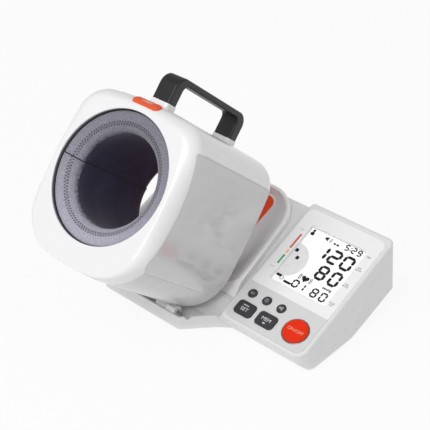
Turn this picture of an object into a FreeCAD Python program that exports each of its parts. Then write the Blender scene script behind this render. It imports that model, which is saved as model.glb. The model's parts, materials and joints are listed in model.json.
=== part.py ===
"""Arm-in blood pressure monitor: a tilting cuff drum on a base with a control unit, in millimetres."""
import math
import os

import FreeCAD
import Part

V = FreeCAD.Vector
RIGHT = V(1, 0, 0)
BACK = V(0, 1, 0)
UP = V(0, 0, 1)

# General
wall = 2.5
overrun = 6.0
fit = 0.15
slide_fit = 0.3
screw_r = 1.5
screw_head_r = 3.0
screw_head_height = 1.8
parallel_share = 0.98

# Drum, in its own frame: X right, Y back along the tunnel, Z up, from the centre of the tunnel's mouth
drum_tilt = 41.0
mouth_r = 72.0
mouth_edge_r = 1.2
mouth_tube_depth = 22.0
body_half_width = 86.0
body_top = 87.0
body_bottom = 100.0
belly_depth = 5.0
hinge_notch_margin = 23.0
body_corner_r = 34.0
body_low_corner_r = 58.0
body_side_r = 900.0
body_cap_r = 420.0
body_depth = 163.0
body_rear_r = 10.0
bezel_depth = 20.0
shoulder_depth = 18.0
face_half_width = 77.0
face_top = 76.0
face_bottom = 98.5
face_corner_r = 24.0
face_low_corner_r = 48.0
face_side_r = 203.0
face_cap_r = 211.0
shoulder_depth_shares = (0.0, 0.2, 0.55, 1.0)
shoulder_swell_shares = (0.0, 0.5, 0.86, 1.0)
shell_split_height = 60.0
split_groove_depth = 0.5
split_groove_height = 1.0
side_panel_skin = 1.2
side_panel_top = 59.4
side_panel_bottom = 69.5
side_panel_rear_margin = 11.0
side_panel_front = 17.5
side_panel_front_high = 7.5
side_panel_front_low = 9.0
side_panel_corner_r = 14.0
side_panel_top_corner_r = 3.0
rear_mouth_r = 81.0
rear_trim_width = 1.0
rear_trim_height = 0.6
rear_trim_root = 3.0
rear_trim_skin = 1.25

# Cuff
core_r = 66.0
core_front = 14.0
core_flange = 3.0
core_flare_r = 82.5
core_flare_margin = 25.0
core_rear_flange_r = 100.0
core_screw_circle_r = 86.0
core_screw_angle = 38.0
liner_r = 54.0
liner_thickness = 2.0
lip_front = 4.0
lip_gap = 0.6
lip_bend_r = 59.5
lip_bend_depth = 8.6
lip_depth = 22.0
rear_lip_margin = 1.5
rear_lip_bend_r = 64.5
rear_lip_bend_margin = 19.4
rear_lip_start_margin = 40.0
bladder_front = 34.0
bladder_rear_margin = 42.0
bladder_edge_r = 3.6
bladder_wall = 1.2

# Carry handle and its plinths
handle_half_width = 11.8
handle_front = 21.6
handle_rear_margin = 3.0
handle_foot = 92.8
handle_top = 124.3
handle_leg = 14.0
handle_bar = 7.0
handle_corner_r = 14.0
handle_inner_r = 7.0
handle_edge_r = 2.2
plinth_half_width = 12.6
plinth_margin = 1.2
plinth_sink = 10.0
plinth_edge_r = 3.5
handle_screw_r = 2.0
handle_screw_head_r = 2.5
handle_screw_depth = 12.0
handle_screw_margin = 4.5

# Open button and the tilt latch
open_centre_depth = 6.0
open_centre_height = 82.3
open_lean = 31.0
open_length = 36.0
open_width = 11.0
open_corner_r = 4.5
open_proud = 2.6
open_sink = 3.2
open_slot_depth = 5.0
open_tab = 1.5
open_tab_half_width = 3.0
open_tab_thickness = 1.2
open_edge_r = 1.2
open_spring_reach = 11.0
open_spring_r = 2.0
open_spring_length = 5.4
pawl_span = (37.0, 45.0)
pawl_half_thickness = 2.0
pawl_length = 17.7
pawl_travel = 2.5
guide_border = 3.0
guide_height = 24.4
guide_roof = 3.0
pawl_spring_r = 1.8
cable_r = 1.2
cable_bend_r = 8.0
cable_start_x = 14.0
cable_start_depth = 15.0
cable_depth = 34.0
cable_wall_gap = 6.0
cable_shoulder_x = 60.0
cable_shoulder_drop = 23.0
cable_side_x = 76.0
cable_side_top = 40.0
cable_side_bottom = 58.0
cable_seat_height = 11.0
cable_end_gap = 0.1

# Hinge between drum and base
hinge_y = 46.3
hinge_z = 17.0
hinge_rear_margin = 13.0
hinge_drop = 102.0
knuckle_r = 6.0
drum_knuckle_span = (20.0, 34.0)
knuckle_gap = 0.4
base_knuckle_length = 13.6
pin_r = 3.0
pin_bore_r = 1.2
bush_thickness = 1.1
hinge_fit = 0.08
notch_floor_r = 3.75
stop_span = (4.0, 20.0)
stop_depth = 11.0

# Air path
tube_r = 1.4
tube_bend_r = 5.0
nipple_x = 12.0
nipple_rear_margin = 58.0
drum_tube_rise = 15.0

# Base: one side profile, seen from the right, with Y back and Z up
base_left = -96.0
control_left = 94.0
control_right = 206.0
base_bottom = 2.0
panel_slope = 22.76
panel_front_y = 65.1
panel_front_z = 30.3
top_front_margin = 2.5
top_length = 170.0
front_foot_y = 80.0
chamfer_y = 70.0
chamfer_top = 12.0
rear_lean = 9.64
rear_foot_z = 24.0
facet_run = 60.5
control_front_r = 14.0
control_rear_r = 8.0
control_left_r = 5.0
control_top_r = 4.0
rear_edge_least = 7.0
deck_drop = 9.0
deck_rear_r = 8.0
deck_front_r = 6.0
deck_top_r = 4.0
tongue_front_y = 37.8
tongue_half_width = 57.0
tongue_cheek_x = 86.0
tongue_cheek_y = 69.0
tongue_back_y = 100.0
tongue_top = 10.0
tongue_rim_top = 18.0
tongue_rim = 2.0
tongue_corner_r = 5.0
parting_height = 7.0
well_half_width = 91.0
well_gap = 9.0
foot_r = 7.0
foot_inset = 1.2
foot_margin = 14.0
foot_front_margin = 18.2
foot_rear_margin = 13.0
base_screw_length = 12.0
base_screw_margin = 6.5
base_screw_left_margin = 5.0
base_screw_rows = (112.0, 162.0, 128.0)

# Elbow rest, in the panel's frame: X right, Y up the slope, Z off the slope
rest_front = 5.0
rest_rear_margin = 6.5
rest_front_half_width = 88.0
rest_rear_half_width = 77.0
rest_corner_r = 40.0
rest_rim = 4.0
rest_rim_r = 1.8
rest_depth = 9.0
rest_depth_shares = (0.0, 0.35, 0.75, 1.0)
rest_inset_shares = (0.0, 0.3, 0.68, 1.0)
rest_floor_half_width = 53.0
rest_floor_rear_inset = 4.5
rest_floor_corner_r = 14.0
pad_thickness = 2.2
pad_margin = 3.0
pad_edge_r = 0.8

# Control panel, in the panel's frame
panel_left = 98.0
panel_width = 104.0
panel_rear_margin = 9.0
panel_corner_r = 9.0
plate_thickness = 1.5
plate_proud = 0.3
ledge = 5.0
keypad_length = 49.9
window_left = 113.7
window_width = 75.3
window_front = 62.0
window_rear_margin = 19.5
window_corner_r = 1.5
display_margin = 3.0
display_thickness = 2.6
display_gap = 0.2
key_gap = 0.4
key_flange = 1.2
key_flange_thickness = 1.5
key_travel = 1.2
key_edge_r = 0.7
small_key_r = 5.3
small_key_proud = 1.4
small_key_row = 36.2
small_key_places = (111.0, 130.8, 150.6)
large_key_length = 23.6
large_key_width = 17.0
large_key_corner_r = 4.5
large_key_proud = 1.6
large_key_row = 16.2
large_key_places = (116.1, 145.2)
power_x = 180.9
power_row = 21.3
power_r = 14.0
power_proud = 2.0
power_ring_r = 15.5
power_ring_proud = 0.9
board_drop = 10.4
board_thickness = 1.6
board_margin = 7.0
post_row_front = 39.0
post_row_rear_margin = 14.0
mat_thickness = 1.0
dome_r = 2.6
dome_gap = 0.1

# Inside the base
motor_r = 13.0
motor_length = 42.0
motor_rear_margin = 21.0
motor_left = -44.0
pump_mount_height = 4.0
pump_mount_length = 30.0
pump_head_length = 26.0
pump_head_width = 28.0
valve_r = 9.0
valve_length = 26.0
valve_gap = 16.0
sensor_length = 14.0
sensor_width = 12.0
sensor_height = 6.0
sensor_x = 120.0
sensor_row = 96.0
speaker_r = 15.0
speaker_height = 6.0
speaker_x = 150.0
speaker_y = 112.0
cell_r = 7.25
cell_length = 50.5
cell_nub_r = 2.75
cell_nub = 1.0
cell_gap = 0.3
box_left = 112.0
box_front = 17.0
box_wall = 1.2
contact_thickness = 0.6
door_thickness = 2.2
door_margin = 3.0

base_knuckle_start = drum_knuckle_span[1] + knuckle_gap
base_knuckle_span = (base_knuckle_start, base_knuckle_start + base_knuckle_length)
hinge_depth = body_depth - hinge_rear_margin
hinge_floor = body_bottom - belly_depth
hinge_notch_front = body_depth - hinge_notch_margin
hinge = V(0, hinge_y, hinge_z)
drum_turn = FreeCAD.Rotation(RIGHT, -drum_tilt)
drum_frame = FreeCAD.Placement(hinge - drum_turn.multVec(V(0, hinge_depth, -hinge_drop)), drum_turn)
panel_frame = FreeCAD.Placement(V(0, panel_front_y, panel_front_z), FreeCAD.Rotation(RIGHT, panel_slope))
top_rear = panel_frame.multVec(BACK * top_length)
rear_foot_y = top_rear.y + rear_lean
kink_y = rear_foot_y - facet_run
side_panel_rear = body_depth - side_panel_rear_margin
handle_rear = body_depth - handle_rear_margin
rear_lip_end = body_depth - rear_lip_margin
rear_lip_bend_depth = body_depth - rear_lip_bend_margin
rear_lip_start = body_depth - rear_lip_start_margin
core_flare_start = body_depth - core_flare_margin
bladder_rear = body_depth - bladder_rear_margin
nipple_depth = body_depth - nipple_rear_margin
drum_tube_height = drum_tube_rise - hinge_floor
rest_rear = top_length - rest_rear_margin
rest_floor_rear = rest_rear - rest_floor_rear_inset
panel_length = top_length - panel_rear_margin
window_right = window_left + window_width
window_rear = panel_length - window_rear_margin
motor_y = kink_y - motor_rear_margin
facet_angle = math.degrees(math.atan2(rear_foot_z - base_bottom, rear_foot_y - kink_y))
facet_length = math.hypot(rear_foot_z - base_bottom, rear_foot_y - kink_y)
facet_frame = FreeCAD.Placement(V(0, kink_y, base_bottom), FreeCAD.Rotation(RIGHT, facet_angle))
open_frame = drum_frame.multiply(
    FreeCAD.Placement(V(0, open_centre_depth, open_centre_height), FreeCAD.Rotation(RIGHT, open_lean))
)
far = body_depth + top_length


def placed(shape, frame):
    """A copy of a shape built in a frame of its own, set into the shared frame."""
    moved = shape.copy()
    moved.Placement = frame.multiply(moved.Placement)
    return moved


def block(low, high):
    """A box between two opposite corners."""
    size = high - low
    return Part.makeBox(size.x, size.y, size.z, low)


def rod(start, end, radius):
    """A round bar between two points."""
    return Part.makeCylinder(radius, (end - start).Length, start, end - start)


def sleeve(start, end, outer_r, inner_r):
    """A round tube between two points."""
    return rod(start, end, outer_r).cut(rod(start, end, inner_r))


def rounded(shape, radius, wanted):
    """The shape with the wanted edges rounded."""
    return shape.makeFillet(radius, [edge for edge in shape.Edges if wanted(edge)])


def near(value, target):
    """Whether two lengths agree."""
    return abs(value - target) < slide_fit


def runs_along(axis):
    """A test for straight edges along an axis."""
    def test(edge):
        if edge.Curve.TypeId != "Part::GeomLine":
            return False
        return abs(edge.Curve.Direction.dot(axis)) > parallel_share
    return test


def plate(x0, x1, y0, y1, z0, z1, corner_r):
    """A flat plate with four round corners."""
    return rounded(block(V(x0, y0, z0), V(x1, y1, z1)), corner_r, runs_along(UP))


def polygon_face(points, inset, normal):
    """A flat face inside a closed outline that turns left around the normal, every side moved inwards."""
    sides = list(zip(points, points[1:] + points[:1]))
    moved = []
    for before, after in zip(sides[-1:] + sides[:-1], sides):
        first = (before[1] - before[0]).normalize()
        second = (after[1] - after[0]).normalize()
        inward = normal.cross(first) + normal.cross(second)
        reach = inset * 2 / inward.dot(inward)
        moved.append(after[0] + inward * reach)
    return Part.Face(Part.makePolygon(moved + moved[:1]))


def fused(shapes):
    """Touching shapes as one."""
    first, *rest = shapes
    return first.multiFuse(rest).removeSplitter()


def tube_along(points, radius, bend_r):
    """A bent round tube: straight runs joined by tangent arcs."""
    edges = []
    start = points[0]
    for before, corner, after in zip(points, points[1:], points[2:]):
        back = (before - corner).normalize()
        ahead = (after - corner).normalize()
        half_angle = back.getAngle(ahead) / 2
        setback = bend_r / math.tan(half_angle)
        enter = corner + back * setback
        leave = corner + ahead * setback
        middle = (back + ahead).normalize()
        centre = corner + middle * (bend_r / math.sin(half_angle))
        edges.append(Part.makeLine(start, enter))
        edges.append(Part.Arc(enter, centre - middle * bend_r, leave).toShape())
        start = leave
    edges.append(Part.makeLine(start, points[-1]))
    section = Part.Wire(Part.makeCircle(radius, points[0], points[1] - points[0]))
    return Part.Wire(edges).makePipeShell([section], True, False)


# The drum's shells
def corner_of(side_centre, side_reach, cap_centre, cap_reach, upward):
    """Centre of a corner arc that lies inside both the side's circle and the cap's circle."""
    between = cap_centre - side_centre
    along = (side_reach ** 2 - cap_reach ** 2 + between.Length ** 2) / (2 * between.Length)
    across = math.sqrt(side_reach ** 2 - along ** 2)
    direction = V(between).normalize()
    normal = V(-direction.z, 0, direction.x)
    options = [side_centre + direction * along + normal * (across * sign) for sign in (1, -1)]
    return max(options, key=lambda point: point.z * upward)


def drum_outline(swell, inset, at):
    """Outline across the drum: bowed sides and round corners, swelling from the face to the body."""
    face = (face_half_width, face_top, face_bottom, face_side_r, face_cap_r, face_corner_r, face_low_corner_r)
    body = (body_half_width, body_top, body_bottom, body_side_r, body_cap_r, body_corner_r, body_low_corner_r)
    sizes = [small + (large - small) * swell - inset for small, large in zip(face, body)]
    half_width, top, bottom, side_r, cap_r, high_corner_r, low_corner_r = sizes
    middle = (top - bottom) / 2
    side_centre = V(half_width - side_r, at, middle)
    points = {}
    for upward, cap_z, corner_r in ((1, top - cap_r, high_corner_r), (-1, cap_r - bottom, low_corner_r)):
        cap_centre = V(0, at, cap_z)
        centre = corner_of(side_centre, side_r - corner_r, cap_centre, cap_r - corner_r, upward)
        off_side = (centre - side_centre).normalize()
        off_cap = (centre - cap_centre).normalize()
        points[upward] = (
            cap_centre + off_cap * cap_r,
            centre + (off_side + off_cap).normalize() * corner_r,
            side_centre + off_side * side_r,
        )

    def mirrored(point):
        return V(-point.x, point.y, point.z)

    high_cap, high_corner, high_side = points[1]
    low_cap, low_corner, low_side = points[-1]
    stops = (
        (high_cap, high_corner, high_side),
        (high_side, V(half_width, at, middle), low_side),
        (low_side, low_corner, low_cap),
        (low_cap, V(0, at, -bottom), mirrored(low_cap)),
        (mirrored(low_cap), mirrored(low_corner), mirrored(low_side)),
        (mirrored(low_side), V(-half_width, at, middle), mirrored(high_side)),
        (mirrored(high_side), mirrored(high_corner), mirrored(high_cap)),
        (mirrored(high_cap), V(0, at, top), high_cap),
    )
    return Part.Wire([Part.Arc(*three).toShape() for three in stops])


def drum_slab(inset, start, end):
    """The body's outline drawn out along the axis."""
    return Part.Face(drum_outline(1, inset, start)).extrude(BACK * (end - start))


def shoulder(inset):
    """The rounded front of the drum, from the face to the full body."""
    stations = zip(shoulder_swell_shares, shoulder_depth_shares)
    wires = [drum_outline(swell, inset, inset + share * shoulder_depth) for swell, share in stations]
    return Part.makeLoft(wires, True, False)


def drum_solid(inset):
    """The whole drum without its plinths, all faces moved inwards."""
    return fused([shoulder(inset), drum_slab(inset, shoulder_depth + inset, body_depth - inset)])


def side_prism(sign, margin):
    """A bar with the side panel's outline, from inside the drum out through one side."""
    high_front = V(0, side_panel_front_high - margin, side_panel_top + margin)
    low_front = V(0, side_panel_front_low - margin, -side_panel_bottom - margin)
    high_rear = V(0, side_panel_rear + margin, side_panel_top + margin)
    low_rear = V(0, side_panel_rear + margin, -side_panel_bottom - margin)
    wire = Part.Wire([
        Part.Arc(high_front, V(0, side_panel_front - margin, 0), low_front).toShape(),
        Part.makeLine(low_front, low_rear),
        Part.makeLine(low_rear, high_rear),
        Part.makeLine(high_rear, high_front),
    ])
    bar = Part.Face(wire).extrude(RIGHT * far)
    lies_along = runs_along(RIGHT)
    bar = rounded(bar, side_panel_corner_r, lambda edge: lies_along(edge) and edge.BoundBox.ZMax < 0)
    bar = rounded(bar, side_panel_top_corner_r, lambda edge: lies_along(edge) and edge.BoundBox.ZMin > 0)
    return bar if sign > 0 else bar.mirror(V(0, 0, 0), RIGHT)


def along_axis(start, end, radius):
    """A round bar on the tunnel's axis."""
    return rod(BACK * start, BACK * end, radius)


pieces = {}
drum_under_panels = drum_solid(side_panel_skin)
panel_skin = drum_solid(0).cut(drum_under_panels)
panel_recesses = []
for name, sign in (("side_panel_right", 1), ("side_panel_left", -1)):
    pieces[name] = placed(panel_skin.common(side_prism(sign, 0)), drum_frame)
    panel_recesses.append(side_prism(sign, fit).cut(drum_under_panels))
mouth_tube = along_axis(0, mouth_tube_depth, mouth_r + wall)
bezel = fused([shoulder(0), drum_slab(0, shoulder_depth, bezel_depth)])
hollow = fused([shoulder(wall), drum_slab(wall, shoulder_depth + wall, bezel_depth + overrun)])
bezel = bezel.cut(hollow).fuse(mouth_tube).cut(along_axis(-overrun, far, mouth_r)).removeSplitter()
bezel = rounded(
    bezel, mouth_edge_r, lambda edge: near(edge.BoundBox.YMax, 0) and near(edge.BoundBox.XMax, mouth_r)
)


def open_prism(margin, low, high):
    """A bar with the open button's outline, in the button's frame."""
    half_length = open_length / 2 + margin
    half_width = open_width / 2 + margin
    return plate(-half_length, half_length, -half_width, half_width, low, high, open_corner_r + margin)


local_open = drum_frame.inverse().multiply(open_frame)


def open_tabs(margin, low):
    """The two end tabs that keep the open button in its slot."""
    reach = open_length / 2 + open_tab + margin
    half_width = open_tab_half_width + margin
    return block(V(-reach, -half_width, low), V(reach, half_width, -open_sink + open_tab_thickness + margin))


bezel = bezel.cut(placed(open_prism(slide_fit, -open_slot_depth, open_proud + overrun), local_open))
bezel = bezel.cut(placed(open_tabs(slide_fit, -open_slot_depth), local_open))
for recess in panel_recesses:
    bezel = bezel.cut(recess)
pieces["front_bezel"] = placed(bezel, drum_frame)


def rear_rounded(slab, end, radius):
    """A drawn-out outline with its rear edges rounded."""
    return rounded(slab, radius, lambda edge: near(edge.BoundBox.YMin, end) and near(edge.BoundBox.YMax, end))


def plinth(depth):
    """The raised seat of one handle leg."""
    reach = handle_leg / 2 + plinth_margin
    seat = block(
        V(-plinth_half_width, depth - reach, body_top - plinth_sink),
        V(plinth_half_width, depth + reach, handle_foot),
    )
    return rounded(seat, plinth_edge_r, runs_along(UP))


def hinge_notch(inset):
    """The space under the drum's rear end that clears the hinge, all its faces moved into the drum."""
    front = hinge_notch_front - inset
    floor = inset - hinge_floor
    centre = V(-far, body_depth - body_rear_r, body_rear_r - hinge_floor)
    radius = body_rear_r - inset
    half_way = radius / math.sqrt(2)
    low = centre - UP * radius
    rear = centre + BACK * radius
    wire = Part.Wire([
        Part.makeLine(V(-far, front, -far), V(-far, front, floor)),
        Part.makeLine(V(-far, front, floor), low),
        Part.Arc(low, centre + (BACK - UP) * half_way, rear).toShape(),
        Part.makeLine(rear, V(-far, far, rear.z)),
        Part.makeLine(V(-far, far, rear.z), V(-far, far, -far)),
        Part.makeLine(V(-far, far, -far), V(-far, front, -far)),
    ])
    return Part.Face(wire).extrude(RIGHT * (far * 2))


screw_out = math.cos(math.radians(core_screw_angle)) * core_screw_circle_r
screw_up = math.sin(math.radians(core_screw_angle)) * core_screw_circle_r
core_screws = [V(screw_out * sign, 0, screw_up * upward) for sign in (1, -1) for upward in (1, -1)]
handle_legs = (handle_front + handle_leg / 2, handle_rear - handle_leg / 2)
handle_screw_setback = handle_leg - handle_screw_margin
handle_screw_places = (handle_front + handle_screw_setback, handle_rear - handle_screw_setback)
drum_outer = rear_rounded(drum_slab(0, bezel_depth, body_depth), body_depth, body_rear_r)
drum_outer = drum_outer.cut(hinge_notch(0))
hollow = drum_slab(wall, bezel_depth - overrun, body_depth - wall)
hollow = rear_rounded(hollow, body_depth - wall, body_rear_r - wall).cut(hinge_notch(wall))
body = drum_outer.multiFuse([plinth(depth) for depth in handle_legs]).cut(hollow)
body = body.cut(along_axis(0, far, rear_mouth_r))
for depth in handle_screw_places:
    body = body.cut(rod(V(0, depth, 0), V(0, depth, handle_top), handle_screw_r + fit))
for place in core_screws:
    seat = place + BACK * (body_depth - screw_head_height)
    body = body.cut(rod(place, place + BACK * far, screw_r + fit))
    body = body.cut(rod(seat, place + BACK * far, screw_head_r + fit))
for recess in panel_recesses:
    body = body.cut(recess)
wide = V(far, far, far)
upper_space = block(V(-far, -far, shell_split_height), wide)
upper = body.common(upper_space)
lower = body.cut(upper_space)
groove = drum_slab(-overrun, 0, body_depth - body_rear_r).cut(
    drum_slab(split_groove_depth, -overrun, body_depth)
)
groove_band = block(
    V(-far, -far, shell_split_height), V(far, far, shell_split_height + split_groove_height)
)
upper = upper.cut(groove.common(groove_band))


def knuckle(span, centre, foot, sign):
    """A hinge barrel on a straight web."""
    left, right = sorted((sign * span[0], sign * span[1]))
    barrel = rod(centre + RIGHT * left, centre + RIGHT * right, knuckle_r)
    web_low = V(left, centre.y - knuckle_r, min(centre.z, foot))
    web_high = V(right, centre.y + knuckle_r, max(centre.z, foot))
    return barrel.fuse(block(web_low, web_high))


local_hinge = V(0, hinge_depth, -hinge_drop)
bush_r = pin_r + hinge_fit + bush_thickness
hinge_line = rod(local_hinge - RIGHT * far, local_hinge + RIGHT * far, bush_r)
pawl_low = knuckle_r - hinge_drop + slide_fit


def pawl_bar(margin, low, high):
    """A bar with the pawl's outline."""
    return block(
        V(pawl_span[0] - margin, hinge_depth - pawl_half_thickness - margin, low),
        V(pawl_span[1] + margin, hinge_depth + pawl_half_thickness + margin, high),
    )


pawl_slot = pawl_bar(slide_fit, -hinge_floor - overrun, pawl_low + pawl_length + pawl_travel)
lower = lower.multiFuse(
    [knuckle(drum_knuckle_span, local_hinge, -hinge_floor + wall, sign) for sign in (1, -1)]
)
lower = lower.cut(hinge_line).cut(pawl_slot)
tube_hole = rod(V(nipple_x, hinge_depth, -far), V(nipple_x, hinge_depth, drum_tube_height), tube_r + fit)
lower = lower.cut(tube_hole)
pieces["drum_upper_shell"] = placed(upper, drum_frame)
pieces["drum_lower_shell"] = placed(lower, drum_frame)
for name, sign in (("hinge_bush_right", 1), ("hinge_bush_left", -1)):
    ends = [local_hinge + RIGHT * (sign * x) for x in drum_knuckle_span]
    pieces[name] = placed(sleeve(ends[0], ends[1], bush_r, pin_r + hinge_fit), drum_frame)

trim_end = body_depth + rear_trim_height
trim_root = body_depth - rear_trim_root
trim = fused([
    sleeve(BACK * (body_depth - wall), BACK * trim_end, rear_mouth_r, rear_mouth_r - rear_trim_skin),
    sleeve(BACK * trim_root, BACK * trim_end, rear_mouth_r + rear_trim_width, rear_mouth_r),
])
trim = rounded(trim, rear_trim_height / 2, lambda edge: near(edge.BoundBox.YMin, trim_end))
trim = trim.cut(drum_outer.cut(along_axis(0, far, rear_mouth_r)))
pieces["rear_trim_ring"] = placed(trim, drum_frame)


# Cuff
def half_section(points):
    """A closed half section from arcs and lines, each given by its points, turned around the axis."""
    edges = []
    for run in points:
        places = [V(radius, depth, 0) for radius, depth in run]
        edges.append(Part.Arc(*places).toShape() if len(places) > 2 else Part.makeLine(*places))
    return Part.Face(Part.Wire(edges)).revolve(V(0, 0, 0), BACK, 360)


core_end = body_depth - wall - fit


def core_bar(margin):
    """The core's bore as a solid: straight around the bladder, then flaring to the rear mouth."""
    straight = core_r + margin
    flared = core_flare_r + margin
    return half_section((
        ((0, core_front), (straight, core_front)),
        ((straight, core_front), (straight, core_flare_start)),
        ((straight, core_flare_start), (flared, core_end)),
        ((flared, core_end), (0, core_end)),
        ((0, core_end), (0, core_front)),
    ))


core_space = drum_slab(wall + fit, core_front + overrun, core_end)
core_space = rear_rounded(core_space, core_end, body_rear_r - wall - fit).cut(hinge_notch(wall + fit))
rear_flange = along_axis(core_end - core_flange, core_end, core_rear_flange_r).common(core_space)
core = fused([
    core_bar(wall).common(core_space.fuse(along_axis(core_front, core_flare_start, mouth_r))),
    along_axis(core_front, core_front + core_flange, mouth_r - fit),
    rear_flange,
])
core = core.cut(core_bar(0))
guide_low = -hinge_floor + wall
core = core.cut(pawl_bar(guide_border + fit, guide_low, guide_low + guide_height + fit))
nipple_place = V(nipple_x, nipple_depth, 0)
core = core.cut(rod(nipple_place, nipple_place - UP * far, tube_r + fit))
for place in core_screws:
    core = core.cut(rod(place, place + BACK * far, screw_r))
pieces["cuff_core"] = placed(core, drum_frame)

lip_r = mouth_r - lip_gap
rear_lip_r = rear_mouth_r - rear_trim_skin - lip_gap
back_r = liner_r + liner_thickness
bend_back = liner_thickness / math.sqrt(2)
liner = half_section((
    ((lip_r, lip_front), (lip_bend_r, lip_bend_depth), (liner_r, lip_depth)),
    ((liner_r, lip_depth), (liner_r, rear_lip_start)),
    ((liner_r, rear_lip_start), (rear_lip_bend_r, rear_lip_bend_depth), (rear_lip_r, rear_lip_end)),
    ((rear_lip_r, rear_lip_end), (rear_lip_r, rear_lip_end - liner_thickness)),
    (
        (rear_lip_r, rear_lip_end - liner_thickness),
        (rear_lip_bend_r + bend_back, rear_lip_bend_depth - bend_back),
        (back_r, rear_lip_start),
    ),
    ((back_r, rear_lip_start), (back_r, lip_depth)),
    (
        (back_r, lip_depth),
        (lip_bend_r + bend_back, lip_bend_depth + bend_back),
        (lip_r, lip_front + liner_thickness),
    ),
    ((lip_r, lip_front + liner_thickness), (lip_r, lip_front)),
))
above_seam = block(V(-far, -far, 0), wide)
pieces["cuff_liner_upper"] = placed(liner.common(above_seam), drum_frame)
pieces["cuff_liner_lower"] = placed(liner.cut(above_seam), drum_frame)


def bladder_bag(inset):
    """The ring-shaped air bag, all faces moved inwards."""
    start = BACK * (bladder_front + inset)
    end = BACK * (bladder_rear - inset)
    bag = sleeve(start, end, core_r - lip_gap - inset, back_r + lip_gap + inset)
    return rounded(bag, bladder_edge_r - inset, lambda edge: edge.BoundBox.YLength < slide_fit)


pieces["air_bladder"] = placed(bladder_bag(0).cut(bladder_bag(bladder_wall)), drum_frame)
nipple_top = -math.sqrt((core_r - lip_gap) ** 2 - nipple_x ** 2)
drum_tube = tube_along(
    (
        V(nipple_x, nipple_depth, nipple_top - lip_gap),
        V(nipple_x, nipple_depth, drum_tube_height),
        V(nipple_x, hinge_depth, drum_tube_height),
        V(nipple_x, hinge_depth, -hinge_drop),
        V(drum_knuckle_span[0] - slide_fit, hinge_depth, -hinge_drop),
    ),
    tube_r,
    tube_bend_r,
)
pieces["drum_air_tube"] = placed(drum_tube, drum_frame)
drum_screws = []
for place in core_screws:
    seat = place + BACK * (body_depth - screw_head_height)
    drum_screws.append(rod(place + BACK * (core_end - core_flange), seat, screw_r))
    drum_screws.append(rod(seat, seat + BACK * (screw_head_height - fit), screw_head_r))
pieces["drum_screws"] = placed(Part.makeCompound([
    fused(pair) for pair in zip(drum_screws[::2], drum_screws[1::2])
]), drum_frame)


# Handle
def strap_block(half_width, front, rear, foot, top, corner_r):
    """A block with its two upper corners rounded, as seen from the side."""
    strap = block(V(-half_width, front, foot), V(half_width, rear, top))
    return rounded(
        strap, corner_r, lambda edge: near(edge.BoundBox.ZMin, top) and edge.BoundBox.YLength < fit
    )


handle = strap_block(handle_half_width, handle_front, handle_rear, handle_foot, handle_top, handle_corner_r)
finger_gap = strap_block(
    far,
    handle_front + handle_leg,
    handle_rear - handle_leg,
    handle_foot - overrun,
    handle_top - handle_bar,
    handle_inner_r,
)
handle = handle.cut(finger_gap)
handle = rounded(
    handle,
    handle_edge_r,
    lambda edge: near(abs(edge.BoundBox.XMin), handle_half_width)
    and edge.BoundBox.XLength < fit
    and edge.BoundBox.ZMax > handle_foot + fit,
)
handle_screws = []
for depth in handle_screw_places:
    seat = V(0, depth, body_top - wall)
    tip = V(0, depth, handle_foot + handle_screw_depth)
    handle = handle.cut(rod(V(0, depth, 0), tip, handle_screw_r))
    head = rod(seat - UP * (screw_head_height + fit), seat - UP * fit, handle_screw_head_r)
    handle_screws.append(head.fuse(rod(seat - UP * fit, tip, handle_screw_r)))
pieces["carry_handle"] = placed(handle, drum_frame)
pieces["handle_screws"] = placed(Part.makeCompound(handle_screws), drum_frame)

# Open button and latch
button = open_prism(0, -open_sink, open_proud)
button = rounded(button, open_edge_r, lambda edge: near(edge.BoundBox.ZMin, open_proud))
button = button.fuse(open_tabs(0, -open_sink))
pieces["open_button"] = placed(button.removeSplitter(), open_frame)
springs = []
for sign in (1, -1):
    top = V(sign * open_spring_reach, 0, -open_sink)
    springs.append(sleeve(top - UP * open_spring_length, top, open_spring_r, open_spring_r / 2))
pieces["open_button_springs"] = placed(Part.makeCompound(springs), open_frame)

pieces["latch_pawl"] = placed(pawl_bar(0, pawl_low, pawl_low + pawl_length), drum_frame)
guide = pawl_bar(guide_border, guide_low, guide_low + guide_height)
chamber = pawl_bar(slide_fit, guide_low - overrun, guide_low + guide_height - guide_roof)
guide = guide.cut(chamber).common(hollow)
pieces["pawl_guide"] = placed(guide, drum_frame)
pawl_top = V(sum(pawl_span) / 2, hinge_depth, pawl_low + pawl_length)
spring_top = V(pawl_top.x, pawl_top.y, guide_low + guide_height - guide_roof)
pieces["pawl_spring"] = placed(sleeve(pawl_top, spring_top, pawl_spring_r, pawl_spring_r / 2), drum_frame)
cable_x = sum(pawl_span) / 2
cable_top = body_top - wall - cable_wall_gap
cable_low = cable_seat_height - hinge_floor
cable_end = hinge_depth - pawl_half_thickness - guide_border - cable_end_gap
cable_route = (
    V(cable_start_x, cable_start_depth, cable_top),
    V(cable_start_x, cable_depth, cable_top),
    V(cable_shoulder_x, cable_depth, body_top - cable_shoulder_drop),
    V(cable_side_x, cable_depth, cable_side_top),
    V(cable_side_x, cable_depth, -cable_side_bottom),
    V(cable_x, cable_depth, cable_low),
    V(cable_x, cable_end, cable_low),
)
pieces["release_cable"] = placed(tube_along(cable_route, cable_r, cable_bend_r), drum_frame)


# The base's shells
def keep_space(inset):
    """Everything between the base's bottom faces and its rear wall, as seen from the side."""
    foot_rear = V(0, rear_foot_y, rear_foot_z)
    outline = [
        V(0, -far, chamfer_top),
        V(0, chamfer_y, chamfer_top),
        V(0, front_foot_y, base_bottom),
        V(0, kink_y, base_bottom),
        foot_rear,
        top_rear,
        top_rear + (top_rear - foot_rear),
        V(0, -far, far),
    ]
    space = polygon_face(outline, inset, RIGHT).extrude(RIGHT * (2 * far))
    space.translate(-RIGHT * far)
    return space


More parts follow.
